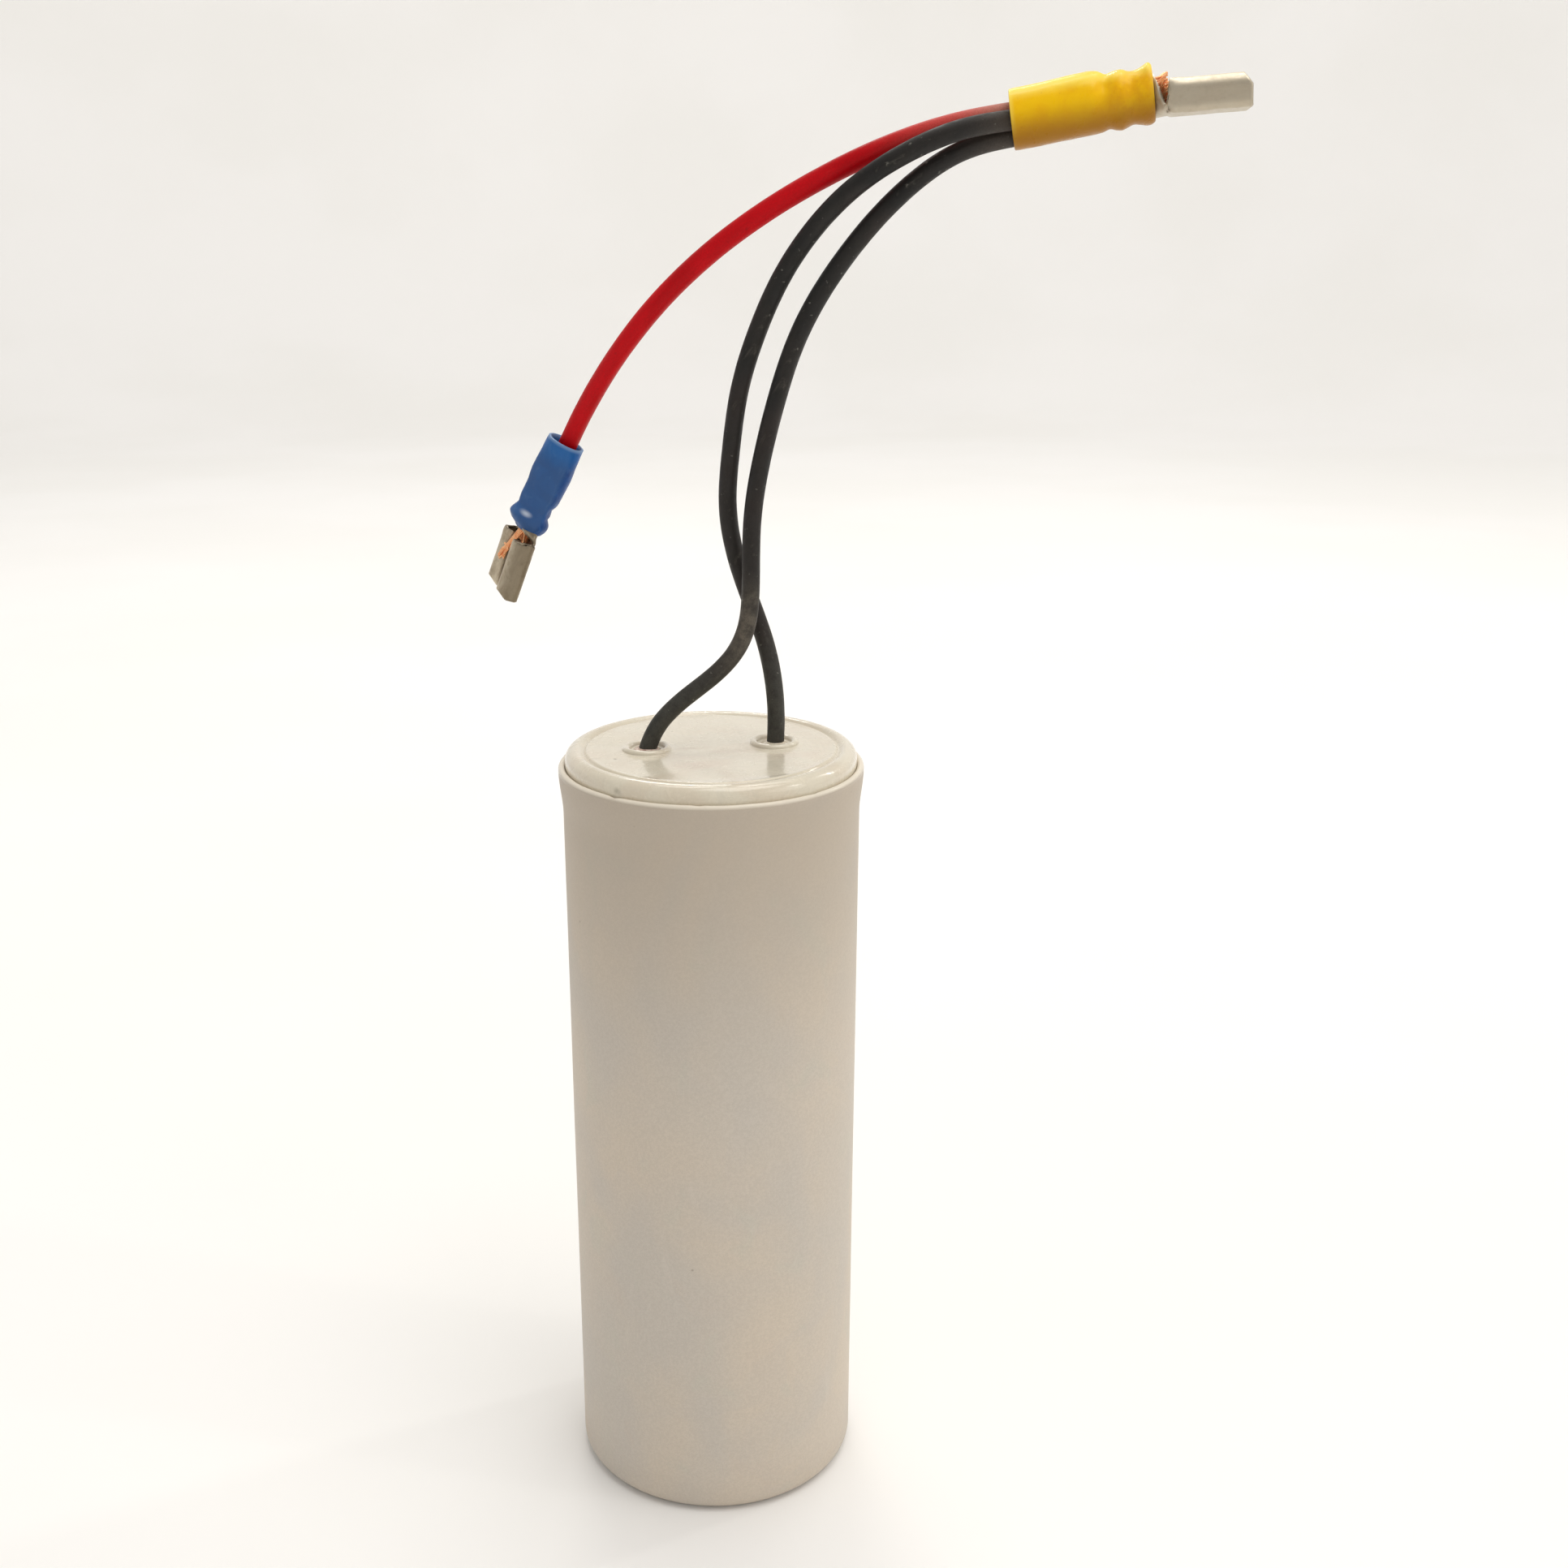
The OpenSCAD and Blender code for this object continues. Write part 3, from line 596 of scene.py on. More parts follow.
MAT = {
    "can_plastic": make_can_plastic(),
    "lid_plastic": make_lid_plastic(),
    "seal_left": make_resin("seal_resin_left", (178, 146, 132), (208, 184, 166), (128, 94, 82)),
    "seal_right": make_resin("seal_resin_right", (214, 200, 178), (226, 216, 196), (176, 156, 136)),
    "black_insulation": make_black(),
    "red_insulation": make_red(),
    "yellow_vinyl": make_yellow(),
    "blue_vinyl": make_blue(),
    "tinned_light": make_tinned("tinned_brass_light", (246, 234, 210), (196, 182, 160), (255, 247, 224)),
    "tinned_khaki": make_tinned("tinned_brass_khaki", (182, 168, 146), (138, 124, 102), (210, 198, 176)),
    "copper": make_copper(),
    "potting_resin": make_plain("potting_resin", (64, 60, 55), (84, 79, 72), 0.25, 0.35),
    "wrap_film": make_plain("wrap_film", (228, 208, 128), (240, 222, 150), 0.12, 0.25, 0.0, (1, 1, 3)),
    "wound_film": make_plain("wound_film", (188, 192, 198), (206, 208, 212), 0.4, 0.28, 0.75, (1, 1, 0.05)),
    "core_plastic": make_plain("core_plastic", (226, 226, 221), (238, 238, 234), 0.3, 0.45),
    "spray_metal": make_plain("spray_metal", (132, 134, 138), (160, 161, 163), 1.6, 0.62, 0.8, (1, 1, 1), 0.2),
    "solder": make_plain("solder", (186, 186, 190), (206, 206, 208), 0.7, 0.25, 0.9),
    "sleeve_white": make_plain("tail_sleeve_plastic", (234, 234, 230), (244, 244, 240), 0.4, 0.4),
}

# ------------------------------------------------------------------ the two terminals' places
YEL_AT, YEL_ROT, YEL_TIP = np.array([30.6, -12.1, 166.7]), rot(0, -9, -20), rot(0, -4, -20)
YEL_NECK, YEL_DROP, YEL_LEN = 16.2, -2.35, 14.4
BLU_AT, BLU_ROT, BLU_TIP = np.array([-15.2, 13.5, 131.8]), rot(-27, 63.5, 162), rot(-27, 68.5, 162)
BLU_NECK, BLU_DROP, BLU_LEN = 12.9, -0.9, 11.6


def yl(*p):
    return YEL_AT + YEL_ROT @ np.array(p, float)


def bl(*p):
    return BLU_AT + BLU_ROT @ np.array(p, float)


YEL_O, BLU_O = yl(YEL_NECK, 0, YEL_DROP), bl(BLU_NECK, 0, BLU_DROP)


def yt(*p):
    return YEL_O + YEL_TIP @ np.array(p, float)


def bt(*p):
    return BLU_O + BLU_TIP @ np.array(p, float)


# ------------------------------------------------------------------ leads (routes as in part.scad)
RIGHT = [(7.75, 0, 94.8), (8, 0, 98), (8, 0, 103), (7, 0.5, 109), (5, 1.5, 114.5), (3, 1, 120), (2, 0.5, 126),
         (2.5, -1, 132.5), (3, -2.5, 139), (5, -4.5, 146), (8, -6.5, 153), (13, -9.5, 159.5), (19, -11.5, 163.5),
         (25, -13, 166), yl(0, -1.05, -0.1), yl(4, -1.05, -0.1)]
LEFT = [(-8.25, 0, 94.8), (-7.75, 0, 97), (-6.5, 0, 100), (-3.5, -0.5, 103), (0, -1, 105.5), (3, -1.5, 108.5),
        (4.5, -2, 112.5), (4.5, -2.5, 118.5), (4.5, -2.5, 124.5), (5.5, -3, 131), (7, -4.5, 138), (9, -6.5, 145.5),
        (13, -8.5, 152.5), (18.5, -9.5, 159), (25, -10.5, 164), yl(0, 0.5, -1.6), yl(4, 0.5, -1.6)]
RED = [yl(4, 1.05, 0.7), yl(0, 1.05, 0.7), (25, -10.5, 166.5), (18.5, -8.5, 164.5), (12, -6.5, 161.5), (6, -4, 158),
       (0, -0.5, 153.5), (-5, 3, 148.5), (-9.5, 7, 142.5), (-13, 11.5, 136), bl(0, 0, -0.3), bl(4, 0, -0.3)]


def lead(name, ctrl, radius, material, node, seed, d0=None):
    pts, s = even(spline_points(ctrl), 0.45)

    def wob(si, a):
        lobe = 0.018 * noise.noise(Vector((si * 0.16 + seed, math.cos(a) * 0.5, math.sin(a) * 0.5)))
        skin = 0.008 * noise.noise(Vector((si * 0.9 + seed, math.cos(a) * 1.4, math.sin(a) * 1.4)))
        return lobe + skin
    b = Build()
    tube(b, pts, radius, 22, s, d0=d0, wobble=wob)
    ob = piece(name, b.v, b.f, material, b.loc, 50, (node,))
    return ob, pts


lead_right, right_path = lead("lead_black_right", RIGHT, 1.05, MAT["black_insulation"],
                              "black_lead_right", 3.7, (0, 0, 1))
lead_left, left_path = lead("lead_black_left", LEFT, 1.05, MAT["black_insulation"],
                            "black_lead_left", 41.3, (0, 0, 1))
lead_red, red_path = lead("lead_red", RED, 1.15, MAT["red_insulation"], "red_lead", 87.1)


# ------------------------------------------------------------------ can
def lathe(b, profile, n, shift=None, closed_top=False):
    """Rings of a profile of (r, z), revolved; a point with r = 0 is one vertex."""
    rings = []
    for r, z in profile:
        if r < 1e-6:
            rings.append([b.add((0, 0, z))])
            continue
        ring = []
        for j in range(n):
            a = 2 * math.pi * j / n
            dr, dz = shift(r, z, a) if shift else (0, 0)
            ring.append(b.add(((r + dr) * math.cos(a), (r + dr) * math.sin(a), z + dz)))
        rings.append(ring)
    for p, q in zip(rings[:-1], rings[1:]):
        if len(p) == 1:
            for j in range(len(q)):
                b.f.append((p[0], q[(j + 1) % len(q)], q[j]))
        elif len(q) == 1:
            for j in range(len(p)):
                b.f.append((p[j], p[(j + 1) % len(p)], q[0]))
        else:
            b.strip(p, q)
    return rings


def arc(cx, cz, rx, rz, a0, a1, n):
    return [(cx + rx * math.cos(math.radians(a0 + (a1 - a0) * i / n)),
             cz + rz * math.sin(math.radians(a0 + (a1 - a0) * i / n))) for i in range(n + 1)]


can_profile = [(0, 0.35), (0.7, 0.35), (0.85, 0.12), (1.6, 0.10), (2.0, 0.25), (6, 0.25), (12.6, 0.25), (13.0, 0.22),
               (13.35, 0.05), (13.6, 0.0), (14.8, 0.0)]
can_profile += arc(16, 2, 2, 2, -90, 0, 12)
can_profile += [(18, z) for z in np.linspace(3, 89.1, 82)]
for i in range(1, 17):
    t = i / 16
    can_profile.append((18 + 0.45 * ease(t), 94.6 - 5.5 * (1 - t)))
can_profile += arc(18.025, 94.6, 0.425, 0.5, 12, 168, 13)
can_profile += [(17.6, 94.6), (17.6, 93.4), (17.6, 92.05), (17.55, 92), (16.85, 92), (16.8, 91.95), (16.8, 60),
                (16.8, 30), (16.8, 2.5), (15.8, 1.5), (8, 1.5), (0, 1.5)]


def can_shift(r, z, a):
    dr = dz = 0.0
    if r > 17.9 and 2 <= z < 94.2:      # slow waves of the moulded wall
        w = min(1.0, (z - 2) / 8, max(0.0, (94.2 - z) / 4))
        dr -= 0.035 * w * (0.5 + 0.5 * fbm(math.cos(a) * 0.9, math.sin(a) * 0.9, z * 0.035, 2))
        dr -= 0.010 * w * (0.5 + 0.5 * fbm(math.cos(a) * 4, math.sin(a) * 4, z * 0.2, 2))
    if z > 93.0 and r > 17.7:           # the lip is a little uneven
        w = min(1.0, (z - 93.0) / 1.5)
        dr -= 0.045 * w * (0.5 + 0.5 * fbm(math.cos(a) * 2.2, math.sin(a) * 2.2, 5.0, 3))
        dz -= 0.085 * w * (0.5 + 0.5 * fbm(math.cos(a) * 2.6, math.sin(a) * 2.6, 9.0, 3))
        # a nick at the left front, and a smaller one by the middle of the front
        for at, wide, deep in ((-137.0, 1.6, 0.22), (-103.5, 0.8, 0.12), (-58.0, 1.2, 0.10)):
            g = gauss((math.degrees(a) - at + 180) % 360 - 180, wide)
            dz -= deep * w * g
            dr -= 0.4 * deep * w * g
    return dr, dz


b = Build()
lathe(b, can_profile, 224, can_shift)
can = piece("can_shell", b.v, [tuple(f) for f in b.f], MAT["can_plastic"], None, 40, ("can",))

# ------------------------------------------------------------------ lid
COLLAR = 7.75
nose = [(14.62, 96.81), (14.80, 96.845), (14.95, 96.85), (15.06, 96.81), (15.14, 96.73), (15.22, 96.61),
        (15.32, 96.54), (15.44, 96.55), (15.54, 96.63), (15.66, 96.75), (15.82, 96.87), (16.0, 96.955)]
nose += arc(16.2, 95.6, 1.4, 1.4, 88, 0, 22)
nose += [(17.6, 95.2), (17.6, 94.5), (17.59, 93.2), (17.58, 92.05), (17.53, 92.0), (15.65, 92.0), (15.6, 92.05),
         (15.6, 93.4), (15.6, 94.8)]
N_LID = 224


def field_z(x, y):
    """Height of the lid's flat field: slow sink marks and worn dents."""
    r = math.hypot(x, y)
    z = 96.80 + 0.030 * fbm(x * 0.16, y * 0.16, 3.0, 3) + 0.006 * fbm(x * 0.9, y * 0.9, 8.0, 2)
    z -= 0.05 * ease(1 - r / 13.0)
    for s in (-1, 1):                    # the field is drawn up a little towards each collar
        d = math.hypot(x - s * COLLAR, y)
        z += 0.05 * gauss(d - 2.9, 0.6) if d > 2.9 else 0.05
    # scratches
    for x0, y0, x1, y1, w, deep in ((10.6, -10.4, 12.0, -9.0, 0.16, 0.05), (11.0, -8.6, 13.6, -5.6, 0.12, 0.03),
                                    (-4.2, 7.6, -1.0, 5.2, 0.14, 0.03), (-2.2, 6.0, -0.2, 7.4, 0.12, 0.03),
                                    (11.8, -2.0, 13.4, 1.2, 0.12, 0.03), (-12.2, -3.3, -11.6, -2.9, 0.16, 0.06)):
        dx, dy = x1 - x0, y1 - y0
        t = min(1, max(0, ((x - x0) * dx + (y - y0) * dy) / (dx * dx + dy * dy)))
        z -= deep * gauss(math.hypot(x - x0 - t * dx, y - y0 - t * dy), w)
    return z


def lid_shift(r, z, a):
    x, y = r * math.cos(a), r * math.sin(a)
    dr = dz = 0.0
    if z > 95.0:
        w = min(1.0, (z - 95.0) / 0.8)
        dz += 0.022 * w * fbm(x * 0.20, y * 0.20, 21.0, 3)
        dr += 0.016 * w * fbm(x * 0.25, y * 0.25, 33.0, 2)
    if r > 17.0 and z > 94.4:
        for at, wide, deep in ((-137.0, 1.4, 0.16), (-135.0, 0.7, 0.10)):
            g = gauss((math.degrees(a) - at + 180) % 360 - 180, wide)
            dr -= deep * g * gauss(z - 95.3, 0.35)
    return dr, dz


def disc(b, z_of, r_out, r_hole, grid, outer_ring, hole_rings, flip):
    """Fills between an outer ring and two collar holes, joined to rings that exist already."""
    pts, owner, edges = [], [], []
    for ring in [outer_ring] + hole_rings:
        start = len(pts)
        for v in ring:
            pts.append(Vector((b.v[v][0], b.v[v][1])))
            owner.append(v)
        n = len(ring)
        edges += [(start + j, start + (j + 1) % n) for j in range(n)]
    if grid:
        k = int(r_out / grid) + 1
        for i in range(-k, k + 1):
            for j in range(-k, k + 1):
                x = (i + 0.5 * (j % 2)) * grid
                y = j * grid * 0.866
                if math.hypot(x, y) > r_out - grid * 0.55:
                    continue
                if min(math.hypot(x - COLLAR, y), math.hypot(x + COLLAR, y)) < r_hole + grid * 0.55:
                    continue
                pts.append(Vector((x, y)))
                owner.append(None)
    vs, _, fs, orig, _, _ = delaunay_2d_cdt(pts, edges, [], 0, 1e-6)
    ids = []
    for i, v in enumerate(vs):
        known = [owner[o] for o in orig[i] if owner[o] is not None]
        ids.append(known[0] if known else b.add((v[0], v[1], z_of(v[0], v[1]))))
    for f in fs:
        cx = sum(vs[i][0] for i in f) / len(f)
        cy = sum(vs[i][1] for i in f) / len(f)
        if math.hypot(cx, cy) > r_out or min(math.hypot(cx - COLLAR, cy), math.hypot(cx + COLLAR, cy)) < r_hole * 0.9985:
            continue
        g = [ids[i] for i in f]
        area = sum(vs[f[i]][0] * vs[f[(i + 1) % len(f)]][1] - vs[f[(i + 1) % len(f)]][0] * vs[f[i]][1]
                   for i in range(len(f)))
        if (area < 0) != flip:
            g.reverse()
        b.f.append(tuple(g))


b = Build()
rings = lathe(b, list(reversed(nose)), N_LID, lid_shift)
# the rings run from the skirt's inside up and over the nose to the field's edge
top_ring, under_ring = rings[-1], rings[0]
collar_section = [(3.30, 96.82), (3.12, 96.83), (3.0, 96.86), (2.95, 96.93)]
collar_section += [(2.5 + 0.45 * math.cos(math.radians(a)), 96.98 + 0.41 * math.sin(math.radians(a))) for a in range(0, 181, 15)]
collar_section += [(2.02, 96.93), (1.95, 96.88), (1.84, 96.85), (1.76, 96.83), (1.70, 96.78), (1.70, 95.8), (1.70, 94.8)]
N_COL = 72
hole_top, hole_under = [], []
for s in (-1, 1):
    first = last = None
    for k, (r, z) in enumerate(collar_section):
        ring = []
        for j in range(N_COL):
            a = 2 * math.pi * j / N_COL
            dr = dz = 0.0
            if 96.9 < z:
                dz = 0.030 * noise.noise(Vector((math.cos(a) * 1.6 + s * 9, math.sin(a) * 1.6, 2.0)))
                dr = 0.035 * noise.noise(Vector((math.cos(a) * 1.3 + s * 5, math.sin(a) * 1.3, 7.0)))
            if s < 0 and z > 96.9:      # the left bead is pressed in on its left side
                dz -= 0.12 * gauss((math.degrees(a) - 165 + 180) % 360 - 180, 22)
            x, y = s * COLLAR + (r + dr) * math.cos(a), (r + dr) * math.sin(a)
            if k == 0:
                zz = field_z(x, y)
            elif k < 3:
                zz = z + (field_z(x, y) - 96.8) * 0.8
            else:
                zz = z + dz
            ring.append(b.add((x, y, zz)))
        if last is not None:
            b.strip(last, ring)
        if first is None:
            first = ring
        last = ring
    hole_top.append(first)
    hole_under.append(last)
# the outermost ring of the field follows field_z
for v in top_ring:
    x, y, _ = b.v[v]
    b.v[v] = (x, y, field_z(x, y) + 0.012)
disc(b, field_z, 14.62, 3.30, 0.42, top_ring, hole_top, False)
disc(b, lambda x, y: 94.8, 15.6, 1.70, 0, under_ring, hole_under, True)
lid = piece("lid_cap", b.v, b.f, MAT["lid_plastic"], None, 50, ("lid",))


# ------------------------------------------------------------------ resin in the collars
def seal(name, node, s, path, material, low, high, lump):
    """Resin that fills a collar and climbs its lead a little."""
    b = Build()
    n = 56
    rows = [(1.0, low), (1.0, 96.2), (1.0, 96.72), (0.86, 96.80), (0.66, 96.85), (0.44, 96.90), (0.24, 96.96),
            (0.10, 97.04), (0.02, 97.14), (-0.06, 97.15), (-0.10, 97.0), (-0.10, 96.2), (-0.10, low)]
    rings = []
    for k, (t, z) in enumerate(rows):
        i = int(np.argmin(abs(path[:, 2] - z)))
        cx, cy = path[i][0], path[i][1]
        ring = []
        for j in range(n):
            a = 2 * math.pi * j / n
            wire = np.array([cx + 1.05 * math.cos(a), cy + 1.05 * math.sin(a)])
            # where the ray from the lead's middle meets the collar's bore
            dx, dy = math.cos(a), math.sin(a)
            ox, oy = cx - s * COLLAR, cy
            bb = ox * dx + oy * dy
            reach = -bb + math.sqrt(max(0.0, bb * bb - (ox * ox + oy * oy - 1.695 ** 2)))
            wall = np.array([cx + reach * dx, cy + reach * dy])
            p = wire + (wall - wire) * max(0.0, t) if t >= 0 else wire + (np.array([cx, cy]) - wire) * -t
            zz = z
            if 96.6 < z and t > -0.05:
                zz += high * noise.noise(Vector((math.cos(a) * 1.8 + s * 4, math.sin(a) * 1.8, t * 2.0)))
                zz += lump * gauss((math.degrees(a) - 175 + 180) % 360 - 180, 40) * math.sin(math.pi * min(1, max(0, t)))
            ring.append(b.add((p[0], p[1], zz)))
        rings.append(ring)
    for p, q in zip(rings[:-1], rings[1:]):
        b.strip(p, q)
    b.strip(rings[-1], rings[0])
    return piece(name, b.v, b.f, material, None, 60, (node,))


seal_l = seal("resin_left", "seal_left", -1, left_path, MAT["seal_left"], 95.2, 0.10, 0.22)
seal_r = seal("resin_right", "seal_right", 1, right_path, MAT["seal_right"], 95.2, 0.05, 0.0)


# ------------------------------------------------------------------ yellow sleeve
def sleeve(name, node, place_, xs, top, bottom, side, power, inner, dents, material, n=112):
    """A soft sleeve: rings from outline tables, a wall round its bore, and crimp dents."""
    b = Build()
    rings = []

    def outer(x, shrink=0.0, push=0.0):
        zt, zb, yw, pw = curve(top, x) - shrink, curve(bottom, x) + shrink, curve(side, x) - shrink, curve(power, x)
        ring = []
        for j in range(n):
            a = 2 * math.pi * j / n
            c, s_ = math.cos(a), math.sin(a)
            y = yw * math.copysign(abs(c) ** (2 / pw), c)
            z = (zt if s_ >= 0 else -zb) * math.copysign(abs(s_) ** (2 / pw), s_)
            xx = x
            for dx, da, wx, wa, deep in dents:
                g = gauss(x - dx, wx) * gauss((math.degrees(a) - da + 180) % 360 - 180, wa)
                y -= deep * g * c
                z -= deep * g * s_
            soft = 0.03 * fbm(x * 0.5 + 3, y * 0.5, z * 0.5, 3)
            y += soft * c
            z += soft * s_
            xx += push
            ring.append(b.add(place_(xx, y, z), (xx, y, z)))
        return ring

    for x in xs:
        rings.append(outer(x))
    # rounded cut at the far end, then the bore
    end = xs[-1]
    rings.append(outer(end, 0.10, 0.06))
    rings.append(outer(end, 0.26, 0.06))
    for x, w, h in inner:
        ring = []
        for j in range(n):
            a = 2 * math.pi * j / n
            ring.append(b.add(place_(x, w * math.cos(a), h * math.sin(a)), (x, w * math.cos(a), h * math.sin(a))))
        rings.append(ring)
    # rounded cut at the wire end
    rings.append(outer(xs[0], 0.26, -0.05))
    rings.append(outer(xs[0], 0.10, -0.05))
    for p, q in zip(rings[:-1], rings[1:]):
        b.strip(q, p)
    b.strip(rings[0], rings[-1])
    return piece(name, b.v, b.f, material, b.loc, 55, (node,))


def steps(a, b_, step):
    return list(np.linspace(a, b_, max(2, int(round((b_ - a) / step)) + 1)))


yel_top = [(0, 3.02), (0.4, 3.06), (2.27, 3.09), (4.79, 3.22), (7.29, 3.33), (8.4, 3.30), (9.09, 3.16), (9.83, 2.74),
           (10.54, 2.87), (11.42, 2.94), (12.16, 2.66), (12.9, 2.66), (13.57, 2.90), (14.0, 3.12), (14.3, 3.08), (14.4, 2.95)]
yel_bot = [(0, -3.04), (0.4, -3.08), (4.14, -2.98), (7.0, -2.92), (9.09, -2.80), (9.85, -2.62), (10.5, -2.84), (11.14, -2.94),
           (12.22, -2.62), (12.9, -2.72), (13.62, -2.90), (14.1, -2.86), (14.4, -2.70)]
yel_side = [(0, 3.05), (2, 3.08), (5, 3.12), (8, 3.10), (9.8, 2.86), (11, 2.95), (12.3, 2.75), (13.6, 2.9), (14.4, 2.78)]
yel_pow = [(0, 2.0), (8, 2.05), (9.8, 2.2), (14.4, 2.0)]
# angles run from +Y (away from the viewer), 90 is up, 180 towards the viewer
yel_dents = [(9.5, 150, 0.55, 16, 0.34), (9.9, 200, 0.9, 26, 0.20), (9.6, 30, 0.6, 24, 0.28), (12.4, 165, 0.6, 24, 0.16),
             (11.3, 178, 0.7, 14, -0.12), (12.4, 20, 0.6, 30, 0.16), (13.5, 135, 0.4, 12, 0.10), (6.0, 215, 2.2, 20, 0.06),
             (10.6, 235, 0.6, 16, 0.10)]
yellow_sleeve = sleeve("sleeve_yellow", "yellow_sleeve", yl, steps(0, 8.5, 0.28) + steps(8.65, 14.4, 0.12),
                       yel_top, yel_bot, yel_side, yel_pow,
                       [(14.1, 2.42, 2.42), (9.0, 2.42, 2.42), (4.45, 2.42, 2.42), (4.35, 2.72, 2.72), (2.0, 2.72, 2.72),
                        (0.25, 2.74, 2.74)],
                       yel_dents, MAT["yellow_vinyl"])

# ------------------------------------------------------------------ blue sleeve
blu_top = [(0, 2.22), (0.6, 2.30), (2.0, 2.42), (4.06, 2.60), (4.9, 2.56), (5.74, 2.46), (6.7, 2.50), (7.62, 2.54), (8.4, 2.46),
           (8.92, 2.44), (9.5, 2.72), (10.12, 2.94), (10.6, 2.70), (10.92, 2.42), (11.3, 1.90), (11.6, 1.62)]
blu_bot = [(0, -2.26), (1.0, -2.20), (2.04, -2.21), (3.0, -2.30), (4.08, -2.37), (5.6, -2.30), (7.13, -2.15), (7.7, -1.96),
           (8.15, -1.70), (8.6, -1.80), (9.1, -1.84), (9.43, -1.68), (9.8, -1.86), (10.21, -2.10), (10.7, -2.16), (11.2, -2.02), (11.6, -1.75)]
blu_side = [(0, 2.62), (1.5, 2.72), (4, 2.82), (7, 2.70), (8.8, 2.45), (9.6, 2.62), (10.4, 2.72), (11.1, 2.5), (11.6, 2.30)]
blu_pow = [(0, 2.0), (0.8, 1.95), (2.0, 1.72), (4.0, 1.62), (8.0, 1.62), (9.2, 1.75), (10.2, 1.9), (11.6, 2.0)]
# here 0 is towards the viewer, 90 the rolled side (left in the picture)
blu_dents = [(7.6, 52, 0.7, 16, 0.26), (9.2, 60, 0.35, 22, 0.10), (8.9, -40, 0.5, 22, 0.16), (7.4, 180, 0.9, 34, 0.20),
             (4.4, 48, 0.7, 12, -0.06), (9.7, 38, 0.45, 14, -0.10), (10.0, 190, 0.5, 30, -0.06)]


def blu_place(x, y, z):
    # the sleeve's crease lies a little to the right of its middle
    return bl(x, y, z - 0.35 * max(0.0, y / 2.7) * ease(x / 2.0) * ease((11.6 - x) / 3.0))


blue_sleeve = sleeve("sleeve_blue", "blue_sleeve", blu_place, steps(0, 7.0, 0.25) + steps(7.12, 11.6, 0.10),
                     blu_top, blu_bot, blu_side, blu_pow,
                     [(11.3, 2.22, 1.62), (8.0, 2.22, 1.62), (4.45, 2.22, 1.62), (4.3, 2.20, 1.60), (2.0, 2.16, 1.66),
                      (0.9, 2.14, 1.78), (0.25, 2.14, 1.86)],
                     blu_dents, MAT["blue_vinyl"])


# ------------------------------------------------------------------ sheet metal receptacles
SHEET = 0.4


def box_mid(w, h, u):
    """Middle of the sheet in a push-on receptacle's section, u from -1 to 1 along it; returns (y, z)."""
    s = 1 if u >= 0 else -1
    low, top_r = 0.7, (h - 0.7) * 0.45 + 0.15
    lm, tm = low - SHEET / 2, top_r - SHEET / 2
    parts = [w / 2 - low, lm * math.pi / 2, h - top_r - low, tm * math.radians(205)]
    d = abs(u) * sum(parts)
    if d < parts[0]:
        return s * d, SHEET / 2
    d -= parts[0]
    if d < parts[1]:
        a = d / lm
        return s * (w / 2 - low + lm * math.sin(a)), low - lm * math.cos(a)
    d -= parts[1]
    if d < parts[2]:
        return s * (w / 2 - SHEET / 2), low + d
    d -= parts[2]
    a = d / tm
    return s * (w / 2 - top_r + tm * math.cos(a)), h - top_r + tm * math.sin(a)


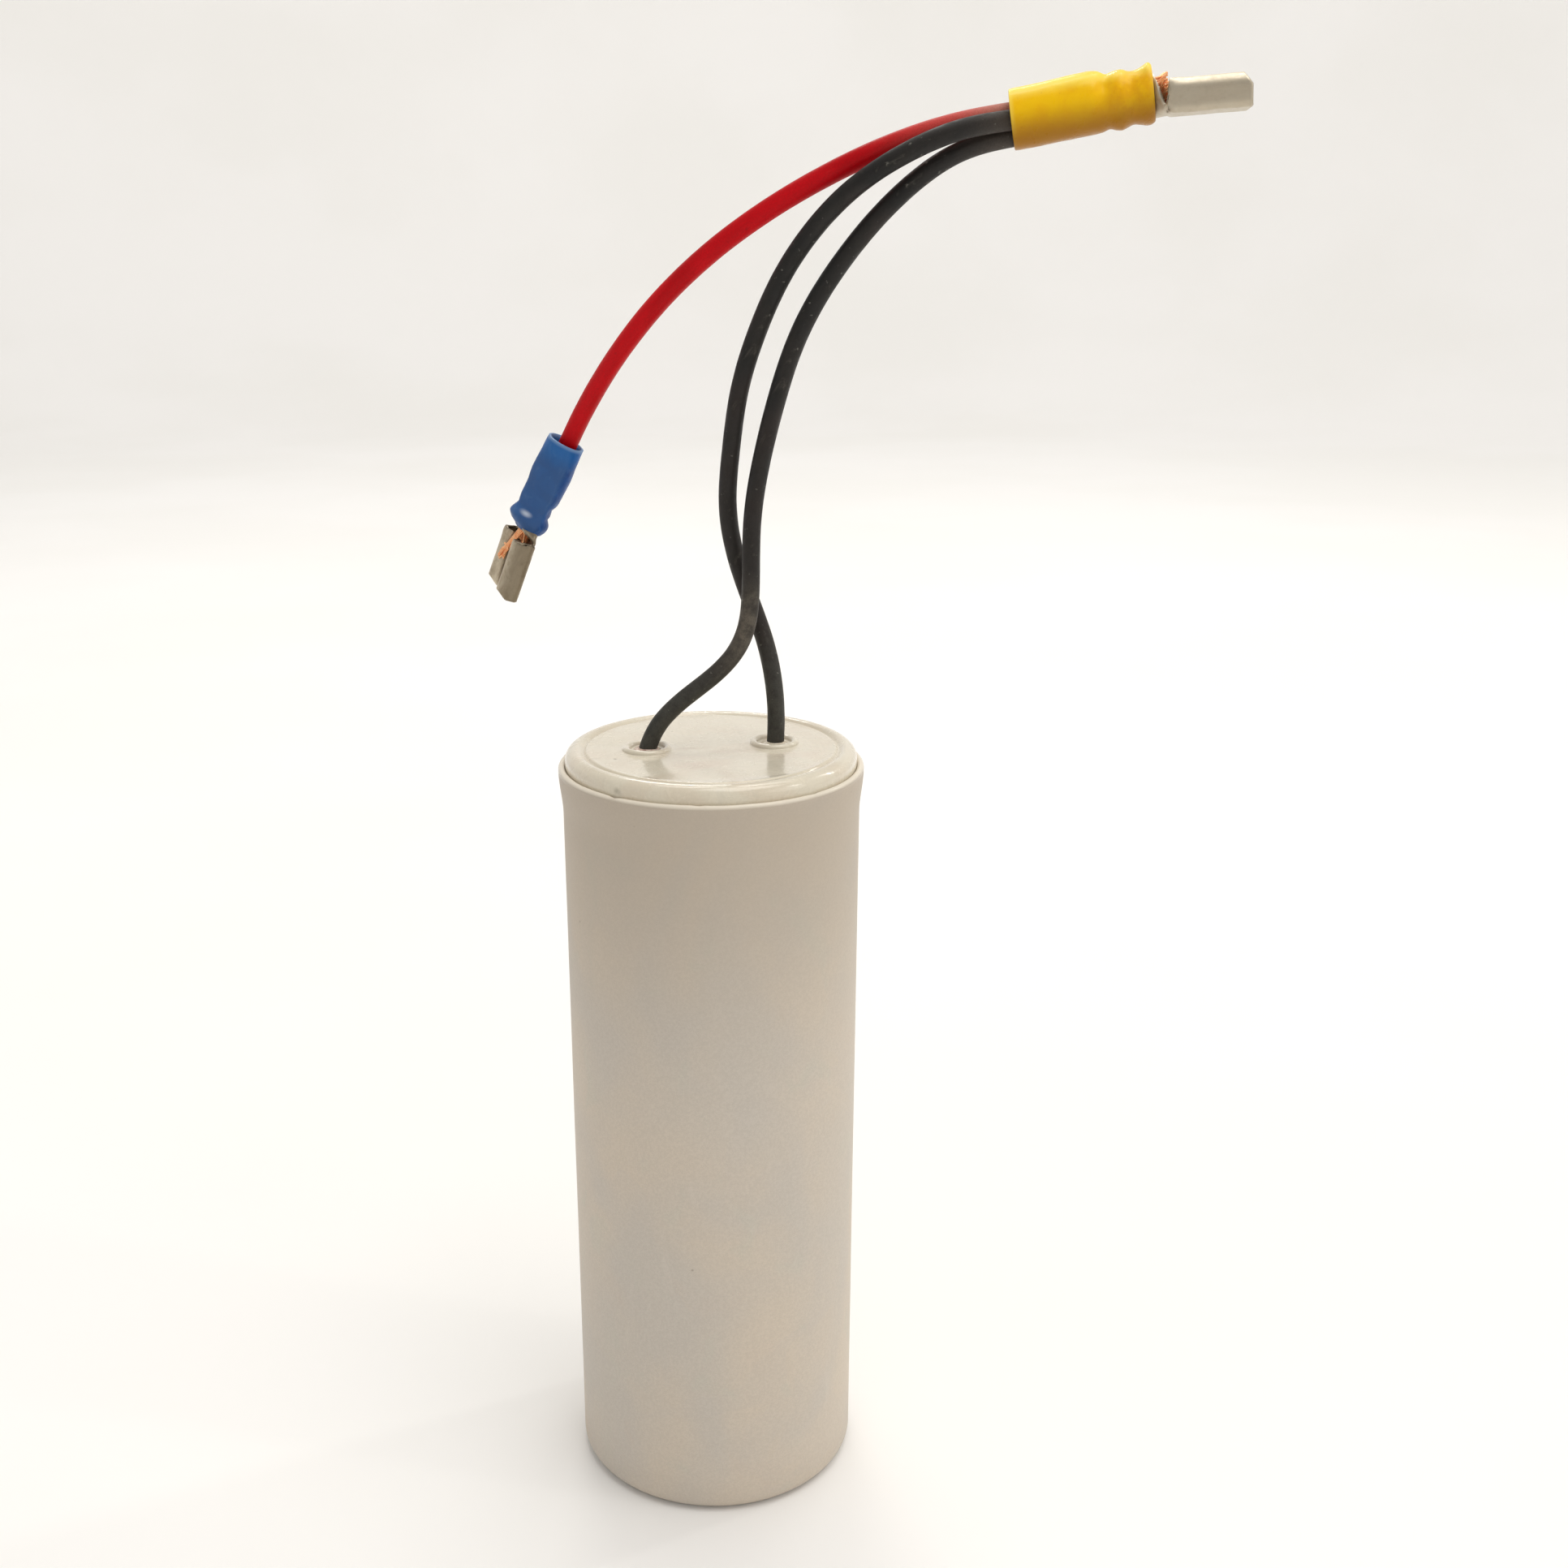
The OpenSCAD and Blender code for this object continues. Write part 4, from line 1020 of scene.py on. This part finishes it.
def receptacle(name, node, barrel, tip, neck, w, h, length, bw, bh, x_start, low_z, dip, dip_at, material):
    """One sheet: crimp barrel, open trough and rolled box. barrel(x, y, z) and tip(x, y, z) place points of the
    sleeve's frame and of the box's frame; bw, bh are the barrel's half width and half height to the sheet's middle."""
    b = Build()
    n = 76                                            # columns of the sheet from one edge to the other
    us = np.linspace(-1, 1, n)
    # stations: x in the box's frame; the barrel's stations are the same distances in the sleeve's frame
    xs = steps(x_start - neck, -2.4, 0.9) + steps(-2.2, 0.9, 0.09) + steps(1.1, length - 2.0, 0.45)
    tail = [0.2, 0.45, 0.7, 0.85, 0.95, 1.0]

    def edge(x):
        """How much of the half strip there is at x."""
        if x < -2.1:
            return 0.985
        if x < dip_at:
            return 0.985 + (dip - 0.985) * ease((x + 2.1) / (dip_at + 2.1)) ** 0.85
        return dip + (1.0 - dip) * ease((x - dip_at) / 0.62) ** 1.2

    def mid(x, u, e):
        uu = u * e
        t = ease((x + 2.0) / 2.1)
        by, bz = box_mid(w, h, uu)
        # curled edges stand a little open at the start of the rolls
        flare = 0.10 * gauss(x - 0.35, 0.45) * max(0.0, abs(uu) - 0.45) / 0.55
        by *= 1 + flare * 0.35
        bz += flare * 0.9
        bz += 0.025 * fbm(x * 0.5, by * 0.5, bz * 0.5 + (5 if w > 7.7 else 0), 2)
        a = uu * math.pi
        q = barrel(neck + x, bw * math.sin(a), -bh * math.cos(a) + low_z)
        p = tip(x, by, bz)
        return q * (1 - t) + p * t

    rows = []
    for x in xs:
        e = edge(x)
        rows.append([(mid(x, u, e), x, u * e) for u in us])
    x_c = xs[-1]
    for v in tail:
        row = []
        for u in us:
            by, bz = box_mid(w, h, u)
            cut = 0.78 * max(0.0, bz - (h - 1.25)) ** 1.15
            x_end = length - cut - 0.10 * ease((abs(by) - w / 2 + 1.0) / 1.0)
            x = x_c + (x_end - x_c) * v
            row.append((mid(x, u, 1.0), x, u))
        rows.append(row)
    P = np.array([[p for p, _, _ in row] for row in rows])
    gx = np.gradient(P, axis=0)
    gu = np.gradient(P, axis=1)
    nn = np.cross(gx, gu)
    nn /= np.linalg.norm(nn, axis=2)[:, :, None] + 1e-12
    gu_n = gu / (np.linalg.norm(gu, axis=2)[:, :, None] + 1e-12)
    gx_n = gx / (np.linalg.norm(gx, axis=2)[:, :, None] + 1e-12)
    m_rows = len(rows)
    half = np.full((m_rows, n), SHEET / 2)
    # rounded sheet edges
    outer_i = np.empty((m_rows, n), int)
    inner_i = np.empty((m_rows, n), int)
    for i in range(m_rows):
        for j in range(n):
            k = half[i, j]
            if i in (0, m_rows - 1) or j in (0, n - 1):
                k *= 0.62
            loc = (rows[i][j][1], rows[i][j][2] * 10, 0.0)
            outer_i[i, j] = b.add(P[i, j] - nn[i, j] * k, (loc[0], loc[1], 0.2))
            inner_i[i, j] = b.add(P[i, j] + nn[i, j] * k, (loc[0], loc[1], -0.2))
    for i in range(m_rows - 1):
        for j in range(n - 1):
            b.f.append((outer_i[i, j], outer_i[i + 1, j], outer_i[i + 1, j + 1], outer_i[i, j + 1]))
            b.f.append((inner_i[i, j], inner_i[i, j + 1], inner_i[i + 1, j + 1], inner_i[i + 1, j]))
    # the border: a middle loop that stands out a little gives the cut edge its roundness
    border = ([(i, 0) for i in range(m_rows)] + [(m_rows - 1, j) for j in range(1, n)]
              + [(i, n - 1) for i in range(m_rows - 2, -1, -1)] + [(0, j) for j in range(n - 2, 0, -1)])
    ridge = []
    for i, j in border:
        out = np.zeros(3)
        if j == 0:
            out -= gu_n[i, j]
        if j == n - 1:
            out += gu_n[i, j]
        if i == 0:
            out -= gx_n[i, j]
        if i == m_rows - 1:
            out += gx_n[i, j]
        out /= np.linalg.norm(out)
        ridge.append(b.add(P[i, j] + out * 0.09, (rows[i][j][1], rows[i][j][2] * 10, 0.5)))
    for k in range(len(border)):
        k2 = (k + 1) % len(border)
        (i, j), (i2, j2) = border[k], border[k2]
        b.f.append((outer_i[i, j], outer_i[i2, j2], ridge[k2], ridge[k]))
        b.f.append((ridge[k], ridge[k2], inner_i[i2, j2], inner_i[i, j]))
    return piece(name, b.v, b.f, material, b.loc, 75, (node,))


yellow_rec = receptacle("receptacle_yellow", "yellow_receptacle", yl, yt, YEL_NECK, 7.8, 3.4, 7.7, 2.15, 2.15, 4.5, 0.0,
                        0.40, -0.75, MAT["tinned_light"])
blue_rec = receptacle("receptacle_blue", "blue_receptacle", bl, bt, BLU_NECK, 7.6, 2.8, 7.2, 2.0, 1.4, 4.5, 0.0,
                      0.42, -0.45, MAT["tinned_khaki"])


# ------------------------------------------------------------------ copper strands
def strands(name, node, paths, radius, material):
    b = Build()
    for k, ctrl in enumerate(paths):
        pts, s = even(spline_points(ctrl, 8), 0.35)
        r = radius * (1 + 0.12 * noise.noise(Vector((k * 1.7, 0.3, 0.9))))
        tube(b, pts, r, 7, s, first_side=(0.3, 0.9, 0.3), phase=k * 0.7)
    return piece(name, b.v, b.f, material, b.loc, 60, (node,))


rng = np.random.default_rng(20)


def packed(n, w, h):
    """n points spread evenly over an ellipse of half axes w, h."""
    out = []
    for i in range(n):
        r = math.sqrt((i + 0.5) / n)
        a = i * 2.399963
        out.append((w * r * math.cos(a), h * r * math.sin(a)))
    return out


yel_paths = []
for i, (y, z) in enumerate(packed(58, 1.62, 1.62)):
    tw = 0.5
    j = rng.normal(0, 1, 6)
    pts = []
    for x in (10.8, 12.2, 13.4, 14.4, 15.2):
        a = tw * (x - 11) / 4
        pts.append(yl(x, y * math.cos(a) - z * math.sin(a), y * math.sin(a) + z * math.cos(a)))
    # the bundle lies open in the trough and ends between the rolls
    y2, z2 = y * 1.15 - 0.35 + 0.10 * j[0], 0.20 + z * 0.95 + 0.08 * j[1]
    end = 16.15 + 0.35 * j[2] - 0.12 * z
    pts.append(yl((15.2 + end) / 2, y2, z2))
    pts.append(yl(end, y2 + 0.08 * j[3], z2 - 0.05 + 0.08 * j[4]))
    yel_paths.append(pts)
yellow_strands = strands("strands_yellow", "yellow_strands", yel_paths, 0.155, MAT["copper"])

blu_paths = []
for i, (y, z) in enumerate(packed(34, 1.50, 0.95)):
    j = rng.normal(0, 1, 8)
    pts = []
    for x in (8.6, 9.8, 10.8, 11.5):
        a = 0.35 * (x - 8.6) / 3
        pts.append(bl(x, y * math.cos(a) - z * math.sin(a), y * math.sin(a) + z * math.cos(a)))
    if z > -0.15 and -1.25 < y < 1.2:
        # strands that stand up and fan out over the gap between the rolls
        spread = (y + 0.1) * 0.42
        far = 2.7 + 0.55 * j[2]
        pts.append(bt(-0.9, y * 0.65 - 0.05, 1.42 + z * 0.28))
        pts.append(bt(0.5, y * 0.45 - 0.35, 1.88 + z * 0.22 + 0.04 * j[3]))
        pts.append(bt(1.6, spread * 1.5 - 0.70 + 0.14 * j[0], 2.22 + z * 0.20 + 0.07 * j[4]))
        pts.append(bt(far, spread * 2.4 - 1.00 + 0.30 * j[1], 2.50 + z * 0.25 + 0.13 * j[5]))
    else:
        pts.append(bt(-0.6, y * 0.95 + 0.06 * j[0], 0.90 + z * 0.45))
        pts.append(bt(0.45 + 0.30 * j[2], y * 0.95 + 0.12 * j[1], 0.74 + (z + 0.5) * 0.30))
    blu_paths.append(pts)
blue_strands = strands("strands_blue", "blue_strands", blu_paths, 0.135, MAT["copper"])

# ------------------------------------------------------------------ CAD nodes that stay, inside the can
for node, key in (("potting", "potting_resin"), ("outer_wrap", "wrap_film"), ("film_winding", "wound_film"),
                  ("winding_core", "core_plastic"), ("end_spray_top", "spray_metal"),
                  ("end_spray_bottom", "spray_metal"), ("tail_top", "copper"), ("tail_bottom", "copper"),
                  ("tail_sleeve", "sleeve_white"), ("solder_top", "solder"), ("solder_bottom", "solder")):
    ob = frame["nodes"][node]
    if not ob.material_slots:
        ob.data.materials.append(MAT[key])
    for sl in ob.material_slots:
        sl.material = MAT[key]


# ------------------------------------------------------------------ floor, backdrop and light
def make_floor_material():
    m = Mat("floor")
    p = m.mm()
    col = m.mix(m.span(m.noise(p, 0.004, 3.0, 0.5), 0.35, 0.65), rgb(244, 243, 241), rgb(247, 246, 245))
    rough = m.span(m.noise(p, 0.05, 3.0, 0.5), 0.3, 0.7, 0.62, 0.72)
    return m.set(color=col, rough=rough, normal=m.bump(m.noise(p, 0.8, 2.0, 0.5), 0.05, 0.05), spec=0.2)


b = Build()
sweep = [(0.0, 0.0)] + [(r, 0.0) for r in (200, 500, 900, 1300)]
sweep += [(1300 + 500 * math.sin(math.radians(a)), 500 - 500 * math.cos(math.radians(a))) for a in range(10, 91, 10)]
sweep += [(1800, 900)]
lathe(b, sweep, 96)
me = bpy.data.meshes.new("floor")
me.from_pydata([tuple(x * MM for x in v) for v in b.v], [], [tuple(reversed(f)) for f in b.f])
me.polygons.foreach_set("use_smooth", [True] * len(me.polygons))
me.materials.append(make_floor_material())
floor = bpy.data.objects.new("floor", me)
scene.collection.objects.link(floor)

world = bpy.data.worlds.new("studio")
scene.world = world
world.use_nodes = True
bg = world.node_tree.nodes.get("Background") or world.node_tree.nodes.new("ShaderNodeBackground")
bg.inputs[0].default_value = (1.0, 0.985, 0.965, 1.0)
bg.inputs[1].default_value = 0.54


def area(name, where, size, power, target=(0.0, 0.0, 0.09), colour=(1.0, 0.97, 0.92), size_y=None):
    d = bpy.data.lights.new(name, "AREA")
    d.shape = "RECTANGLE"
    d.size = size
    d.size_y = size_y or size
    d.energy = power
    d.color = colour
    o = bpy.data.objects.new(name, d)
    scene.collection.objects.link(o)
    o.location = where
    o.rotation_euler = (Vector(target) - Vector(where)).to_track_quat("-Z", "Y").to_euler()
    o.visible_camera = False
    return o


def toward(az, el, dist, centre=(0.0, -0.015, 0.097)):
    a, e = math.radians(az), math.radians(el)
    return (centre[0] + dist * math.sin(a) * math.cos(e), centre[1] + dist * math.cos(a) * math.cos(e),
            centre[2] + dist * math.sin(e))


area("key_top", (0.25, -0.25, 1.25), 0.75, 4.9)
area("fill_right", (1.0, -0.75, 0.55), 0.7, 1.4)
area("wall_wash", (0.2, 0.7, 1.7), 1.2, 8.0, (0.2, 1.8, 0.3))
# narrow lamps seen as streaks on the lid's bull-nose
for k, (az, el, w, h, bright) in enumerate(((2, 42, 0.34, 0.07, 18.0), (-8, 72, 0.20, 0.035, 16.0), (34, 67, 0.20, 0.035, 16.0),
                                            (114, 34, 0.06, 0.22, 10.0), (72, 30, 0.06, 0.30, 16.0))):
    at = toward(az, el, 1.1)
    area("lamp_%d" % k, at, w, bright * math.pi * w * h, (0.0, -0.015, 0.097), (1.0, 0.98, 0.93), h)
